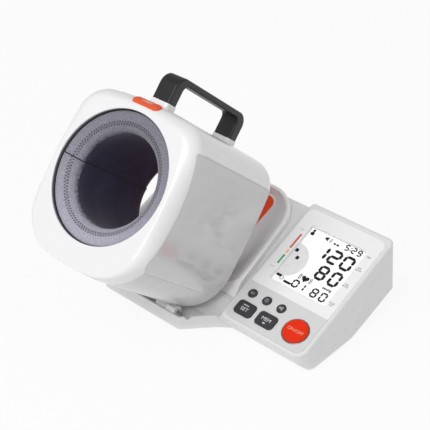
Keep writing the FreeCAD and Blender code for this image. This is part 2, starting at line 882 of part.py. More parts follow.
def upright_at(x, y):
    """A test for upright edges that pass one point of the plan."""
    def test(edge):
        box = edge.BoundBox
        return runs_along(UP)(edge) and near(box.XMin, x) and near(box.YMin, y)
    return test


def slope_block(left, right, off, inset, left_r, right_r):
    """A block under a plane parallel to the panel, square to it, with its front corners rounded."""
    front = -top_front_margin + inset
    solid = block(V(left, front, -far), V(right, far, off - inset))
    solid = rounded(solid, left_r, upright_at(left, front))
    solid = rounded(solid, right_r, upright_at(right, front))
    return placed(solid, panel_frame).common(keep_space(inset))


def rear_edge(x):
    """A test for the upright rear edge of one side."""
    def test(edge):
        box = edge.BoundBox
        on_side = near(box.XMin, x) and near(box.XMax, x)
        return on_side and near(box.YMax, rear_foot_y) and box.ZLength > rear_edge_least
    return test


def on_slope(off):
    """A test for edges that lie wholly at one height off the slope."""
    back_to_panel = panel_frame.inverse()

    def test(edge):
        points = edge.discretize(3)
        return all(near(back_to_panel.multVec(point).z, off) for point in points)
    return test


control = slope_block(control_left, control_right, 0, 0, control_left_r, control_front_r)
control = rounded(control, control_rear_r, rear_edge(control_right))
control = rounded(control, control_left_r, rear_edge(control_left))
control = rounded(control, control_top_r, on_slope(0))
deck_right = control_left + overrun
deck = slope_block(base_left, deck_right, -deck_drop, 0, deck_front_r, deck_front_r)
deck = rounded(deck, deck_rear_r, rear_edge(base_left))
deck = rounded(
    deck, deck_top_r, lambda edge: on_slope(-deck_drop)(edge) and edge.BoundBox.XMin < deck_right - fit
)


def tongue_slab(inset, low, high):
    """The low front of the base, under the drum."""
    plan = [
        V(-tongue_half_width, tongue_front_y, low),
        V(tongue_half_width, tongue_front_y, low),
        V(tongue_cheek_x, tongue_cheek_y, low),
        V(deck_right, front_foot_y, low),
        V(deck_right, tongue_back_y, low),
        V(base_left, tongue_back_y, low),
        V(base_left, front_foot_y, low),
        V(-tongue_cheek_x, tongue_cheek_y, low),
    ]
    return polygon_face(plan, inset, UP).extrude(UP * (high - low))


tongue = rounded(tongue_slab(0, base_bottom, tongue_rim_top), tongue_corner_r, runs_along(UP))


def well(margin):
    """The clear space of the drum above the tongue."""
    half_width = well_half_width + margin
    space = block(V(-half_width, -far, -far), V(half_width, body_depth + well_gap + margin, far))
    floor = tongue_slab(tongue_rim - margin, tongue_top - margin, tongue_rim_top)
    room = block(V(-far, -far, tongue_rim_top - margin), wide).fuse(floor)
    return placed(space, drum_frame).common(room)


outer = fused([control, deck, tongue]).cut(well(0))
inner = slope_block(
    base_left + wall, control_right - wall, 0, wall, deck_front_r - wall, control_front_r - wall
)
above_deck_inner = placed(
    block(V(base_left - overrun, -far, -deck_drop - wall), V(control_left + wall, far, far)), panel_frame
)
inner = inner.cut(above_deck_inner).cut(well(wall))
inner = inner.fuse(tongue_slab(wall, base_bottom + wall, tongue_top - wall))
shell = outer.cut(inner)


def pan_space(height):
    """Everything below the parting line, which follows the bottom at one height."""
    bend_y = kink_y - height * math.tan(math.radians(facet_angle / 2))
    rear_y = bend_y + far
    rear_z = base_bottom + height + (rear_y - bend_y) * math.tan(math.radians(facet_angle))
    outline = [
        V(-far, -far, -far),
        V(-far, -far, base_bottom + height),
        V(-far, bend_y, base_bottom + height),
        V(-far, rear_y, rear_z),
        V(-far, rear_y, -far),
    ]
    return Part.Face(Part.makePolygon(outline + [outline[0]])).extrude(RIGHT * (2 * far))


pan = pan_space(parting_height - base_bottom)
lower_shell = shell.common(pan)
upper_shell = shell.cut(pan)


# Elbow rest
def rest_outline(blend, margin, off):
    """Outline of the elbow rest at one height off the slope: a taper with two round rear corners."""
    front_x = rest_front_half_width + (rest_floor_half_width - rest_front_half_width) * blend + margin
    rear_x = rest_rear_half_width + (rest_floor_half_width - rest_rear_half_width) * blend + margin
    rear_y = rest_rear + (rest_floor_rear - rest_rear) * blend + margin
    radius = rest_corner_r + (rest_floor_corner_r - rest_corner_r) * blend + margin
    front = V(front_x, rest_front, off)
    corner = V(rear_x, rear_y, off)
    side = (front - corner).normalize()
    across = V(-1, 0, 0)
    half_angle = side.getAngle(across) / 2
    setback = radius / math.tan(half_angle)
    middle = (side + across).normalize()
    enter = corner + side * setback
    leave = corner + across * setback
    bulge = corner + middle * (radius / math.sin(half_angle) - radius)

    def mirrored(point):
        return V(-point.x, point.y, point.z)

    return Part.Wire([
        Part.makeLine(front, enter),
        Part.Arc(enter, bulge, leave).toShape(),
        Part.makeLine(leave, mirrored(leave)),
        Part.Arc(mirrored(leave), mirrored(bulge), mirrored(enter)).toShape(),
        Part.makeLine(mirrored(enter), mirrored(front)),
        Part.makeLine(mirrored(front), front),
    ])


def rest_bowl(margin):
    """The hollow of the elbow rest, from the rim down to the floor."""
    stations = zip(rest_inset_shares, rest_depth_shares)
    wires = [rest_outline(inset, margin, -share * rest_depth - margin) for inset, share in stations]
    lid = Part.Face(rest_outline(0, margin, -margin)).extrude(UP * overrun)
    return fused([Part.makeLoft(wires, True, False), lid])


rim = Part.Face(rest_outline(0, rest_rim, -deck_drop)).extrude(UP * deck_drop)
rim = rounded(
    rim, rest_rim_r, lambda edge: near(edge.BoundBox.ZMin, 0) and edge.BoundBox.YMax > rest_front + rest_rim
)
under = rest_bowl(wall).common(block(V(-far, -far, -far), V(far, far, -deck_drop + wall)))
elbow = fused([rim, under]).cut(rest_bowl(0))
local_well = placed(well(wall + fit), panel_frame.inverse())
elbow = elbow.cut(local_well)
pieces["elbow_rest"] = placed(elbow, panel_frame)
opening = Part.Face(rest_outline(0, 0, -deck_drop - wall - overrun)).extrude(UP * (wall + overrun * 2))
upper_shell = upper_shell.cut(placed(opening, panel_frame).cut(well(wall)))
pad = Part.Face(rest_outline(1, -pad_margin, -rest_depth)).extrude(UP * pad_thickness)
pad = pad.cut(local_well)
pad = rounded(pad, pad_edge_r, lambda edge: near(edge.BoundBox.ZMin, pad_thickness - rest_depth))
pieces["elbow_pad"] = placed(pad, panel_frame)

# Panel plates and display
panel_right = panel_left + panel_width
seat = plate(panel_left, panel_right, 0, panel_length, -plate_thickness, overrun, panel_corner_r)
window_through = block(
    V(panel_left + ledge, ledge, -wall - overrun), V(panel_right - ledge, panel_length - ledge, overrun)
)
upper_shell = upper_shell.cut(placed(fused([seat, window_through]), panel_frame))
face = plate(
    panel_left + fit, panel_right - fit, fit, panel_length - fit, -plate_thickness, plate_proud,
    panel_corner_r - fit,
)
keypad_space = block(V(0, -far, -far), V(far, keypad_length, far))


def window_plate(margin, low, high):
    """A plate with the display window's outline."""
    return plate(
        window_left - margin, window_right + margin, window_front - margin, window_rear + margin, low, high,
        window_corner_r + margin,
    )


display_plate = face.cut(keypad_space).cut(window_plate(0, -far, far))
keypad_plate = face.common(keypad_space)
pieces["display_window"] = placed(window_plate(-fit, -plate_thickness, plate_proud), panel_frame)
display_top = -plate_thickness - display_gap
board_top = -board_drop + board_thickness
display_low = display_top - display_thickness
pieces["display"] = placed(window_plate(display_margin, display_low, display_top), panel_frame)
frame_ring = window_plate(display_margin, board_top, display_low)
pieces["display_frame"] = placed(frame_ring.cut(window_plate(0, -far, far)), panel_frame)
pieces["display_plate"] = placed(display_plate, panel_frame)

# Keys, each standing in a hole of the keypad plate on a dome of the key mat
key_bottom = -plate_thickness - fit - key_flange_thickness


def round_bar(centre, radius, low, high):
    """An upright round bar in the panel's frame."""
    return rod(centre + UP * low, centre + UP * high, radius)


def round_key(centre, radius, proud):
    """A round key cap with its flange."""
    cap = round_bar(centre, radius, key_bottom, proud)
    cap = rounded(cap, key_edge_r, lambda edge: near(edge.BoundBox.ZMin, proud))
    return fused([cap, round_bar(centre, radius + key_flange, key_bottom, key_bottom + key_flange_thickness)])


def large_bar(x, margin, low, high):
    """A bar with a large key's outline."""
    half_length = large_key_length / 2 + margin
    half_width = large_key_width / 2 + margin
    return plate(
        x - half_length, x + half_length, large_key_row - half_width, large_key_row + half_width, low, high,
        large_key_corner_r + margin,
    )


def large_key(x):
    """A rounded rectangular key cap with its flange."""
    cap = large_bar(x, 0, key_bottom, large_key_proud)
    cap = rounded(cap, key_edge_r, lambda edge: near(edge.BoundBox.ZMin, large_key_proud))
    return fused([cap, large_bar(x, key_flange, key_bottom, key_bottom + key_flange_thickness)])


dome_places = []
for name, x in zip(("small_key_left", "small_key_middle", "small_key_right"), small_key_places):
    centre = V(x, small_key_row, 0)
    dome_places.append(centre)
    pieces[name] = placed(round_key(centre, small_key_r, small_key_proud), panel_frame)
    keypad_plate = keypad_plate.cut(round_bar(centre, small_key_r + key_gap, -far, far))
for name, x in zip(("set_key", "memory_key"), large_key_places):
    dome_places.append(V(x, large_key_row, 0))
    pieces[name] = placed(large_key(x), panel_frame)
    keypad_plate = keypad_plate.cut(large_bar(x, key_gap, -far, far))
power_centre = V(power_x, power_row, 0)
dome_places.append(power_centre)
pieces["power_button"] = placed(round_key(power_centre, power_r, power_proud), panel_frame)
ring = round_bar(power_centre, power_ring_r, -plate_thickness, power_ring_proud)
ring = rounded(ring, power_ring_proud / 2, lambda edge: near(edge.BoundBox.ZMin, power_ring_proud))
pieces["power_ring"] = placed(ring.cut(round_bar(power_centre, power_r + key_gap, -far, far)), panel_frame)
keypad_plate = keypad_plate.cut(round_bar(power_centre, power_ring_r, -far, far))
pieces["keypad_plate"] = placed(keypad_plate, panel_frame)
mat_parts = [block(
    V(panel_left + board_margin, board_margin, board_top),
    V(panel_right - board_margin, keypad_length, board_top + mat_thickness),
)]
mat_parts += [round_bar(place, dome_r, board_top, key_bottom - dome_gap) for place in dome_places]
pieces["key_mat"] = placed(fused(mat_parts), panel_frame)
board = block(
    V(panel_left + board_margin, board_margin, -board_drop),
    V(panel_right - board_margin, panel_length - board_margin, board_top),
)
pieces["main_board"] = placed(board, panel_frame)
sensor_low = V(sensor_x, sensor_row, -board_drop - sensor_height)
sensor = block(sensor_low, sensor_low + V(sensor_length, sensor_width, sensor_height))
pieces["pressure_sensor"] = placed(sensor, panel_frame)

# Board posts, hinge knuckles and the pins
floor_z = base_bottom + wall
post_reach = board_margin + screw_head_r
board_posts = []
for x in (panel_left + post_reach, panel_right - post_reach):
    for row in (post_row_front, panel_length - post_row_rear_margin):
        head = panel_frame.multVec(V(x, row, -board_drop))
        board_posts.append(rod(V(x, head.y, -far), head + UP * board_thickness, screw_head_r))
under_board = placed(block(V(-far, -far, -far), V(far, far, -board_drop)), panel_frame)
posts = [post.common(under_board).common(inner) for post in board_posts]
hinge_holes = rod(hinge - RIGHT * far, hinge + RIGHT * far, pin_r)
notch = block(
    V(pawl_span[0] - slide_fit, hinge.y - pawl_half_thickness - slide_fit, hinge.z + notch_floor_r),
    V(pawl_span[1] + slide_fit, hinge.y + pawl_half_thickness + slide_fit, hinge.z + knuckle_r + overrun),
)
upper_shell = upper_shell.multiFuse(
    [knuckle(base_knuckle_span, hinge, tongue_top - wall / 2, sign) for sign in (1, -1)]
)
upper_shell = upper_shell.cut(hinge_holes).cut(notch)
hose_drop_x = base_knuckle_span[1] + tube_bend_r + tube_r
pieces["hinge_pin_left"] = rod(
    hinge - RIGHT * base_knuckle_span[1], hinge - RIGHT * drum_knuckle_span[0], pin_r
)
pieces["hinge_pin_right"] = sleeve(
    hinge + RIGHT * drum_knuckle_span[0], hinge + RIGHT * base_knuckle_span[1], pin_r, pin_bore_r
)
rear_round = drum_frame.multVec(V(0, body_depth - body_rear_r, body_rear_r - hinge_floor))
stops = []
for sign in (1, -1):
    left, right = sorted((sign * stop_span[0], sign * stop_span[1]))
    stops.append(block(
        V(left, rear_round.y - stop_depth / 2, tongue_top),
        V(right, rear_round.y + stop_depth / 2, rear_round.z - body_rear_r - slide_fit),
    ))
pieces["tilt_stops"] = Part.makeCompound(stops)

# Pump, valve and the air tube to the hinge
mount_top = floor_z + pump_mount_height
motor_z = mount_top + motor_r - wall
motor_right = motor_left + motor_length
motor = rod(V(motor_left, motor_y, motor_z), V(motor_right, motor_y, motor_z), motor_r)
pieces["pump_motor"] = motor
head_right = motor_right + pump_head_length
head_reach = pump_head_width / 2
pieces["pump_head"] = block(
    V(motor_right, motor_y - head_reach, motor_z - head_reach),
    V(head_right, motor_y + head_reach, motor_z + head_reach),
)
mount_middle = (motor_left + motor_right) / 2
mount = block(
    V(mount_middle - pump_mount_length / 2, motor_y - motor_r, floor_z),
    V(mount_middle + pump_mount_length / 2, motor_y + motor_r, motor_z),
)
pieces["pump_mount"] = mount.cut(motor)
valve_left = head_right + valve_gap
valve_z = floor_z + valve_r
valve_end = V(valve_left, motor_y, valve_z)
pieces["release_valve"] = rod(valve_end, valve_end + RIGHT * valve_length, valve_r)
hose_z = (floor_z + tongue_top - wall) / 2
hose_route = (
    V(base_knuckle_span[1] + fit, hinge.y, hinge.z),
    V(hose_drop_x, hinge.y, hinge.z),
    V(hose_drop_x, hinge.y, hose_z),
    V(hose_drop_x, motor_y - valve_r - fit, hose_z),
)
pieces["base_air_tube"] = tube_along(hose_route, tube_r, tube_bend_r - fit)
upper_shell = upper_shell.cut(tube_along(hose_route, tube_r + fit, tube_bend_r - fit))
speaker_low = V(speaker_x, speaker_y, floor_z)
pieces["speaker"] = rod(speaker_low, speaker_low + UP * speaker_height, speaker_r)

# Batteries behind a sliding door in the sloped rear bottom, in that slope's own frame
pitch = 2 * cell_r + cell_gap
box_right = box_left + cell_length + cell_nub + 2 * contact_thickness + 2 * box_wall
box_rear = box_front + 2 * pitch + 2 * box_wall
cells_low = door_thickness + cell_gap
box_top = cells_low + 2 * pitch + box_wall
battery_box = block(V(box_left, box_front, wall), V(box_right, box_rear, box_top))
box_room = block(
    V(box_left + box_wall, box_front + box_wall, -overrun),
    V(box_right - box_wall, box_rear - box_wall, box_top - box_wall),
)
pieces["battery_box"] = placed(battery_box.cut(box_room), facet_frame)
number = 0
for row in range(2):
    for layer in range(2):
        number += 1
        cell_y = box_front + box_wall + pitch * row + pitch / 2
        cell_z = cells_low + pitch * layer + pitch / 2
        start = V(box_left + box_wall + contact_thickness, cell_y, cell_z)
        can = rod(start, start + RIGHT * cell_length, cell_r)
        nub = rod(start + RIGHT * cell_length, start + RIGHT * (cell_length + cell_nub), cell_nub_r)
        pieces["battery_cell_" + str(number)] = placed(can.fuse(nub), facet_frame)
contacts = []
for x in (box_left + box_wall, box_right - box_wall - contact_thickness):
    contacts.append(block(
        V(x, box_front + box_wall, cells_low),
        V(x + contact_thickness, box_rear - box_wall, box_top - box_wall),
    ))
pieces["battery_contacts"] = placed(Part.makeCompound(contacts), facet_frame)
door_left = box_left - door_margin
door_right = box_right + door_margin
door_front = box_front - door_margin


def door_plate(margin, end):
    """The battery door's plate in the rear facet."""
    return block(
        V(door_left - margin, door_front - margin, -overrun), V(door_right + margin, end, overrun * 2)
    )


skin = outer.common(placed(block(V(-far, -far, -overrun), V(far, far, door_thickness)), facet_frame))
pieces["battery_door"] = skin.common(placed(door_plate(0, far), facet_frame)).common(pan)
door_room = placed(
    block(
        V(door_left - slide_fit, door_front - slide_fit, -overrun), V(door_right + slide_fit, far, wall + fit)
    ),
    facet_frame,
)
lower_shell = lower_shell.cut(door_room)

# Feet and screws under the base
tongue_foot_x = tongue_half_width - foot_margin
foot_places = (
    V(-tongue_foot_x, tongue_front_y + foot_front_margin, 0),
    V(tongue_foot_x, tongue_front_y + foot_front_margin, 0),
    V(base_left + foot_margin, kink_y - foot_rear_margin, 0),
    V(control_right - foot_margin, kink_y - foot_rear_margin, 0),
    V(control_right - foot_margin, front_foot_y + foot_front_margin, 0),
)
feet = []
for place in foot_places:
    low = V(place.x, place.y, 0)
    pad_top = V(place.x, place.y, base_bottom + foot_inset)
    foot = rod(low, pad_top, foot_r)
    feet.append(rounded(foot, foot_inset / 2, lambda edge: near(edge.BoundBox.ZMax, 0)))
    lower_shell = lower_shell.cut(rod(V(place.x, place.y, base_bottom - overrun), pad_top, foot_r + fit))
pieces["rubber_feet"] = Part.makeCompound(feet)
front_row, rear_row, right_row = base_screw_rows
base_screw_places = (
    V(base_left + base_screw_margin, front_row, 0),
    V(control_left - base_screw_left_margin, front_row, 0),
    V(control_left - base_screw_left_margin, rear_row, 0),
    V(control_right - base_screw_margin, right_row, 0),
)
screws = []
boss_parts = []
for place in base_screw_places:
    head_low = V(place.x, place.y, base_bottom + fit)
    seat = V(place.x, place.y, base_bottom + screw_head_height)
    tip = V(place.x, place.y, base_bottom + base_screw_length)
    lower_shell = lower_shell.cut(rod(V(place.x, place.y, base_bottom - overrun), seat, screw_head_r + fit))
    lower_shell = lower_shell.cut(rod(seat, tip, screw_r + fit))
    screws.append(rod(head_low, seat, screw_head_r).fuse(rod(seat, tip, screw_r)))
    boss_parts.append(sleeve(V(place.x, place.y, floor_z), tip + UP * far, screw_head_r + wall / 2, screw_r))
pieces["base_screws"] = Part.makeCompound(screws)
screw_bosses = [boss.common(inner) for boss in boss_parts]
upper_shell = upper_shell.multiFuse(screw_bosses)
lower_shell = lower_shell.multiFuse(posts)
pieces["base_upper_shell"] = upper_shell
pieces["base_lower_shell"] = lower_shell

# One shared origin: the middle of the whole outline, on the table
whole = Part.makeCompound(list(pieces.values())).optimalBoundingBox(False, False)
origin = V((whole.XMin + whole.XMax) / 2, (whole.YMin + whole.YMax) / 2, whole.ZMin)
os.makedirs("parts", exist_ok=True)
for name, piece in pieces.items():
    piece.translate(-origin)
    piece.exportStep(os.path.join("parts", name + ".step"))
print("size", whole.XLength, whole.YLength, whole.ZLength)
print("hinge", hinge - origin)
print("mouth", drum_frame.Base - origin)
print("panel frame", panel_frame.Base - origin)
print("facet frame", facet_frame.Base - origin, facet_angle)
print("open button", open_frame.Base - origin)
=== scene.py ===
"""Looks of an arm-in blood pressure monitor: lining, cushion, display, legends and finishes."""

import json
import math

import bmesh
import bpy
from mathutils import Matrix, Vector, noise


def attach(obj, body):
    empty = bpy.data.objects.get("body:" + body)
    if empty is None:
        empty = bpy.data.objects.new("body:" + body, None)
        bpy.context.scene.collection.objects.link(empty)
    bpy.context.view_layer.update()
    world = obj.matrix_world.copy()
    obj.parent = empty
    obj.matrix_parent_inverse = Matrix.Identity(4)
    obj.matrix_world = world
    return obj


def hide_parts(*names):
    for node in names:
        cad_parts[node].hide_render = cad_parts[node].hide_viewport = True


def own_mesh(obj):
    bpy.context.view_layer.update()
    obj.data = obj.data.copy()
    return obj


bl_info = {
    "name": "Blood pressure monitor looks",
    "version": (1, 0, 0),
    "blender": (4, 5, 0),
    "location": "View3D > Sidebar > Monitor",
    "description": "Dresses the packed blood pressure monitor and sets up its studio",
    "category": "Object",
}

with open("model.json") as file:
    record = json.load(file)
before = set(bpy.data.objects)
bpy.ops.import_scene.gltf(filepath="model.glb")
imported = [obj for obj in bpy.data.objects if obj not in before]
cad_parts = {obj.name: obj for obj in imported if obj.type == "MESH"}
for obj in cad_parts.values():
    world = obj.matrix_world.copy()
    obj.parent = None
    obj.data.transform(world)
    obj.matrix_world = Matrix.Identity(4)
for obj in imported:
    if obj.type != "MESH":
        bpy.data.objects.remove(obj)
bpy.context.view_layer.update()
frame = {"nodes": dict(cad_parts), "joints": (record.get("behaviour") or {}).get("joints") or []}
MM = 0.001
FULL_TURN = 2 * math.pi
RIGHT = Vector((1, 0, 0))
JOINTS = {joint["name"]: joint for joint in frame["joints"]}
HINGE = Vector(JOINTS["drum_tilt"]["pos_m"])


def frame_matrix(ahead, up, origin):
    """A frame with X to the right, given by its other axes and its origin."""
    return Matrix((*zip(RIGHT, ahead, up, origin), (0, 0, 0, 1)))


def joint_axis(joint):
    """The direction in which a joint's piece moves."""
    return Vector(JOINTS[joint]["axis"]).normalized()


def from_hinge(back, up):
    """A point in the drum's middle plane, in millimetres back and up from the hinge."""
    return HINGE + Vector((0, back, up)) * MM


# The drum's own frame: X right, Y back along the tunnel, Z up, from the centre of its mouth
DRUM_UP = joint_axis("latch_pawl_lift")
DRUM_BACK = DRUM_UP.cross(RIGHT)
MOUTH = HINGE - DRUM_BACK * (150 * MM) + DRUM_UP * (102 * MM)
DRUM = frame_matrix(DRUM_BACK, DRUM_UP, MOUTH)

# The panel's frame: X right from the drum's middle plane, Y up the slope, Z off the panel
PANEL_UP = -joint_axis("power_button_press")
PANEL_BACK = PANEL_UP.cross(RIGHT)
PANEL = frame_matrix(PANEL_BACK, PANEL_UP, from_hinge(18.8, 13.3))

# The frame of the open button's top, and that of the battery door's outer face
OPEN_UP = -joint_axis("open_button_press")
OPEN = frame_matrix(OPEN_UP.cross(RIGHT), OPEN_UP, from_hinge(12.2335, 233.5655))
DOOR_BACK = joint_axis("battery_door_slide")
DOOR = frame_matrix(DOOR_BACK, RIGHT.cross(DOOR_BACK), from_hinge(124.7027, -15.0))

# The keys that press on the key mat, the orange one last, and the mat's rubber
KEYS = (
    "small_key_left", "small_key_middle", "small_key_right",
    "set_key", "memory_key", "power_button",
)
MAT_COLOUR = (0.045, 0.045, 0.047)
MAT_GRAIN = 1500.0

# Thickness of printed letters in millimetres
LETTER_THICKNESS = 0.05

# The photo's camera: sensor in millimetres, width and focal length in pixels, place and direction
SENSOR_WIDTH = 36.0
PHOTO_PIXELS = 430.0
FOCAL_PIXELS = 1150.0
CAMERA_OFFSET = Vector((0.7353, -0.7017, 0.7905))
CAMERA_AHEAD = Vector((-0.5546, 0.6154, -0.5601))


def operator_pair(operation):
    """An arithmetic method for values in a shader tree, and its reflected form."""
    def forward(left, right):
        return left.math(operation, left, right)

    def reflected(right, left):
        return right.math(operation, left, right)

    return forward, reflected


class Field:
    """A value in a shader tree; arithmetic on it adds Math nodes."""

    def __init__(self, owner, socket):
        self.owner = owner
        self.socket = socket

    def math(self, operation, left, right=0.0):
        """A Math node on one or two values."""
        return self.owner.node("Math", {0: left, 1: right}, operation=operation)

    __add__, __radd__ = operator_pair("ADD")
    __sub__, __rsub__ = operator_pair("SUBTRACT")
    __mul__, __rmul__ = operator_pair("MULTIPLY")
    __truediv__, __rtruediv__ = operator_pair("DIVIDE")
    __pow__, __rpow__ = operator_pair("POWER")

    def sine(self):
        return self.math("SINE", self)

    def angle_to(self, other):
        return self.math("ARCTAN2", self, other)

    def clamped(self):
        return self.owner.node("Clamp", {"Value": self})


class NodeTree:
    """The shader tree of a material or a world while it is being built."""

    def __init__(self, owner):
        owner.use_nodes = True
        self.tree = owner.node_tree

    def node(self, kind, inputs=None, output=0, **settings):
        """Adds a shader node: its settings first, then the values or links of its sockets."""
        made = self.tree.nodes.new("ShaderNode" + kind)
        for key, value in settings.items():
            setattr(made, key, value)
        for key, value in (inputs or {}).items():
            self.feed(made.inputs[key], value)
        return Field(self, made.outputs[output])

    def feed(self, socket, value):
        """Links a value of the tree to a socket, or sets a plain value."""
        if isinstance(value, Field):
            self.tree.links.new(value.socket, socket)
        else:
            socket.default_value = value

    def is_ray(self, kind):
        """One for rays of a kind, such as camera rays, and zero for others."""
        return self.node("LightPath", output=f"Is {kind} Ray")

    def mix_shaders(self, share, first, second):
        """One shader turning into another."""
        return self.node("MixShader", {0: share, 1: first, 2: second})


class Finish(NodeTree):
    """A procedural material while it is being built."""

    def __init__(self, name):
        self.material = bpy.data.materials.new(name)
        super().__init__(self.material)
        self.shader = self.tree.nodes["Principled BSDF"]
        self.place = self.node("TexCoord", output="Object")

    def set(self, **sockets):
        """Sets or links the shader's own sockets, named with underscores for spaces."""
        for name, value in sockets.items():
            self.feed(self.shader.inputs[name.replace("_", " ")], value)

    def speckle(self, scale, detail=2.0, roughness=0.5, place=None):
        """Noise of so many grains per metre."""
        return self.node("TexNoise", {
            "Vector": place or self.place, "Scale": scale, "Detail": detail, "Roughness": roughness,
        })

    def cells(self, scale):
        """Distance to the nearest of many scattered points."""
        return self.node("TexVoronoi", {"Vector": self.place, "Scale": scale})

    def along(self, origin, axis):
        """How far a point lies along an axis from an origin, in metres."""
        offset = self.node("VectorMath", {0: self.place, 1: origin}, operation="SUBTRACT")
        return self.node("VectorMath", {0: offset, 1: axis}, "Value", operation="DOT_PRODUCT")

    def in_mouth(self):
        """How far a point lies right of, above and behind the mouth's centre, in metres."""
        return [self.along(MOUTH, axis) for axis in (RIGHT, DRUM_UP, DRUM_BACK)]

    def blend(self, share, first, second, kind="MIX"):
        """One colour turning into another, or one multiplied by another."""
        sockets = {0: share, 6: first, 7: second}
        return self.node("Mix", sockets, 2, data_type="RGBA", blend_type=kind)

    def mottle(self, share, colour, dark, light):
        """A colour that turns from darker to lighter."""
        return self.blend(share, shade(colour, dark), shade(colour, light))

    def with_relief(self, height, strength, distance):
        """Adds a surface relief, and gives the finished material."""
        sockets = {"Height": height, "Strength": strength, "Distance": distance}
        self.set(Normal=self.node("Bump", sockets))
        return self.material


def grey(level):
    """A grey as four numbers."""
    return (level, level, level, 1.0)


def shade(colour, factor):
    """A colour made lighter or darker, as four numbers."""
    return tuple(min(1.0, part * factor) for part in colour[:3]) + (1.0,)


def moulded_plastic(
    name, colour, roughness, grain, grain_depth, coat=0.0, dust=0.03, specular=0.5, paint_over=None
):
    """Moulded plastic with a fine grain, uneven gloss and a trace of wear, and colour painted over
    it if wanted, such as painted shade.
    """
    finish = Finish(name)
    cloudy = finish.speckle(16.0, 4.0, 0.6)
    smears = finish.speckle(60.0, 3.0, 0.55)
    grains = finish.speckle(grain)
    scuffs = ((finish.speckle(900.0, 4.0, 0.7) - 0.62) * 6.0).clamped()
    tone = finish.mottle(cloudy, colour, 1.0 - dust, 1.0 + dust)
    worn = finish.blend(scuffs * 0.06, tone, shade(colour, 0.88))
    finish.set(
        Base_Color=paint_over(finish, worn) if paint_over else worn,
        Roughness=roughness + (smears - 0.5) * 0.05 + scuffs * 0.05 + (grains - 0.5) * 0.05,
        Coat_Weight=coat, Coat_Roughness=0.12, IOR=1.49, Specular_IOR_Level=specular,
    )
    return finish.with_relief(grains, 0.22, grain_depth)


def rubber(name, colour, grain):
    """Matt rubber with a pitted skin."""
    finish = Finish(name)
    pits = finish.cells(grain)
    cloudy = finish.speckle(90.0, 4.0, 0.6)
    finish.set(
        Base_Color=finish.mottle(cloudy, colour, 0.82, 1.18),
        Roughness=0.62 + (cloudy - 0.5) * 0.2, Specular_IOR_Level=0.35,
    )
    return finish.with_relief(pits * 0.6 + cloudy * 0.4, 0.35, 1.2e-4)


def steel(name, colour, roughness):
    """Turned or drawn steel with fine lines along it."""
    finish = Finish(name)
    sockets = {"Vector": finish.place, "Scale": (60.0, 2600.0, 2600.0)}
    lines = finish.speckle(1.0, 3.0, 0.6, finish.node("Mapping", sockets))
    finish.set(
        Base_Color=finish.mottle(lines, colour, 0.75, 1.1),
        Roughness=roughness + (lines - 0.5) * 0.2, Metallic=1.0,
    )
    return finish.with_relief(lines, 0.2, 4e-5)


def printed_ink(name, colour, roughness=0.45, specular=0.5):
    """Screen print: a thin, slightly uneven film of ink."""
    finish = Finish(name)
    screen = finish.speckle(5200.0)
    cover = finish.speckle(160.0, 3.0, 0.6)
    finish.set(
        Base_Color=finish.mottle(cover, colour, 0.9, 1.1),
        Roughness=roughness + (screen - 0.5) * 0.15, Specular_IOR_Level=specular,
    )
    return finish.with_relief(screen, 0.15, 2e-5)


def sewing_thread(name, colour):
    """Twisted sewing thread."""
    finish = Finish(name)
    twist = finish.speckle(4200.0, 2.0, 0.6)
    finish.set(
        Base_Color=finish.mottle(twist, colour, 0.6, 1.6),
        Roughness=0.7 + (twist - 0.5) * 0.2, Sheen_Weight=0.15,
    )
    return finish.with_relief(twist, 0.5, 1.2e-4)


def add_object(name, data):
    """A new object in the scene."""
    added = bpy.data.objects.new(name, data)
    bpy.context.scene.collection.objects.link(added)
    return added


def place_piece(name, mesh, material, body):
    """Puts a finished mesh into the scene, riding on a body."""
    mesh.materials.clear()
    mesh.materials.append(material)
    piece = add_object(name, mesh)
    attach(piece, body)
    return piece


def make_piece(name, points, faces, material, body="base", smooth=True):
    """A mesh piece in the shared frame that rides on a body."""
    mesh = bpy.data.meshes.new(name)
    mesh.from_pydata([tuple(point) for point in points], [], faces)
    shaped = bmesh.new()
    shaped.from_mesh(mesh)
    bmesh.ops.recalc_face_normals(shaped, faces=shaped.faces)
    shaped.to_mesh(mesh)
    shaped.free()
    for polygon in mesh.polygons:
        polygon.use_smooth = smooth
    return place_piece(name, mesh, material, body)


def make_prisms(name, outlines, levels, material, body="base", place=PANEL):
    """A piece of upright prisms over flat outlines, all in millimetres in a frame of the part."""
    points, faces = [], []
    for outline in outlines:
        first = len(points)
        for level in levels:
            points += [place @ Vector((x * MM, y * MM, level * MM)) for x, y in outline]
        faces += closed_rings(2, len(outline), first)
    return make_piece(name, points, faces, material, body, smooth=False)


def make_words(
    name, words, size, centre, level, material, slot, body="base", place=PANEL, bold=0.0
):
    """A piece of plain lettering laid on a surface, in millimetres in a frame of the part."""
    curve = bpy.data.curves.new(name, "FONT")
    curve.body = words
    curve.size = size * MM
    curve.align_x = "CENTER"
    curve.align_y = "CENTER"
    curve.extrude = LETTER_THICKNESS / 2 * MM
    curve.offset = bold * MM
    curve.resolution_u = 3
    curve.space_line = 0.9
    holder = add_object(name + "_curve", curve)
    bpy.context.view_layer.update()
    depsgraph = bpy.context.evaluated_depsgraph_get()
    mesh = bpy.data.meshes.new_from_object(holder.evaluated_get(depsgraph))
    bpy.data.objects.remove(holder)
    bpy.data.curves.remove(curve)
    mesh.transform(place @ Matrix.Translation(Vector((*centre, level)) * MM))
    mesh.name = name
    return place_piece(name, mesh, material, body)


def closed_rings(rings, sides, first=0):
    """Faces through rings of points, each joined to the next, with both end rings closed."""
    faces = []
    for ring in range(rings - 1):
        low, high = first + ring * sides, first + (ring + 1) * sides
        for side in range(sides):
            beside = (side + 1) % sides
            faces.append([low + side, low + beside, high + beside, high + side])
    last = first + (rings - 1) * sides
    return faces + [list(range(first, first + sides)), list(range(last, last + sides))]


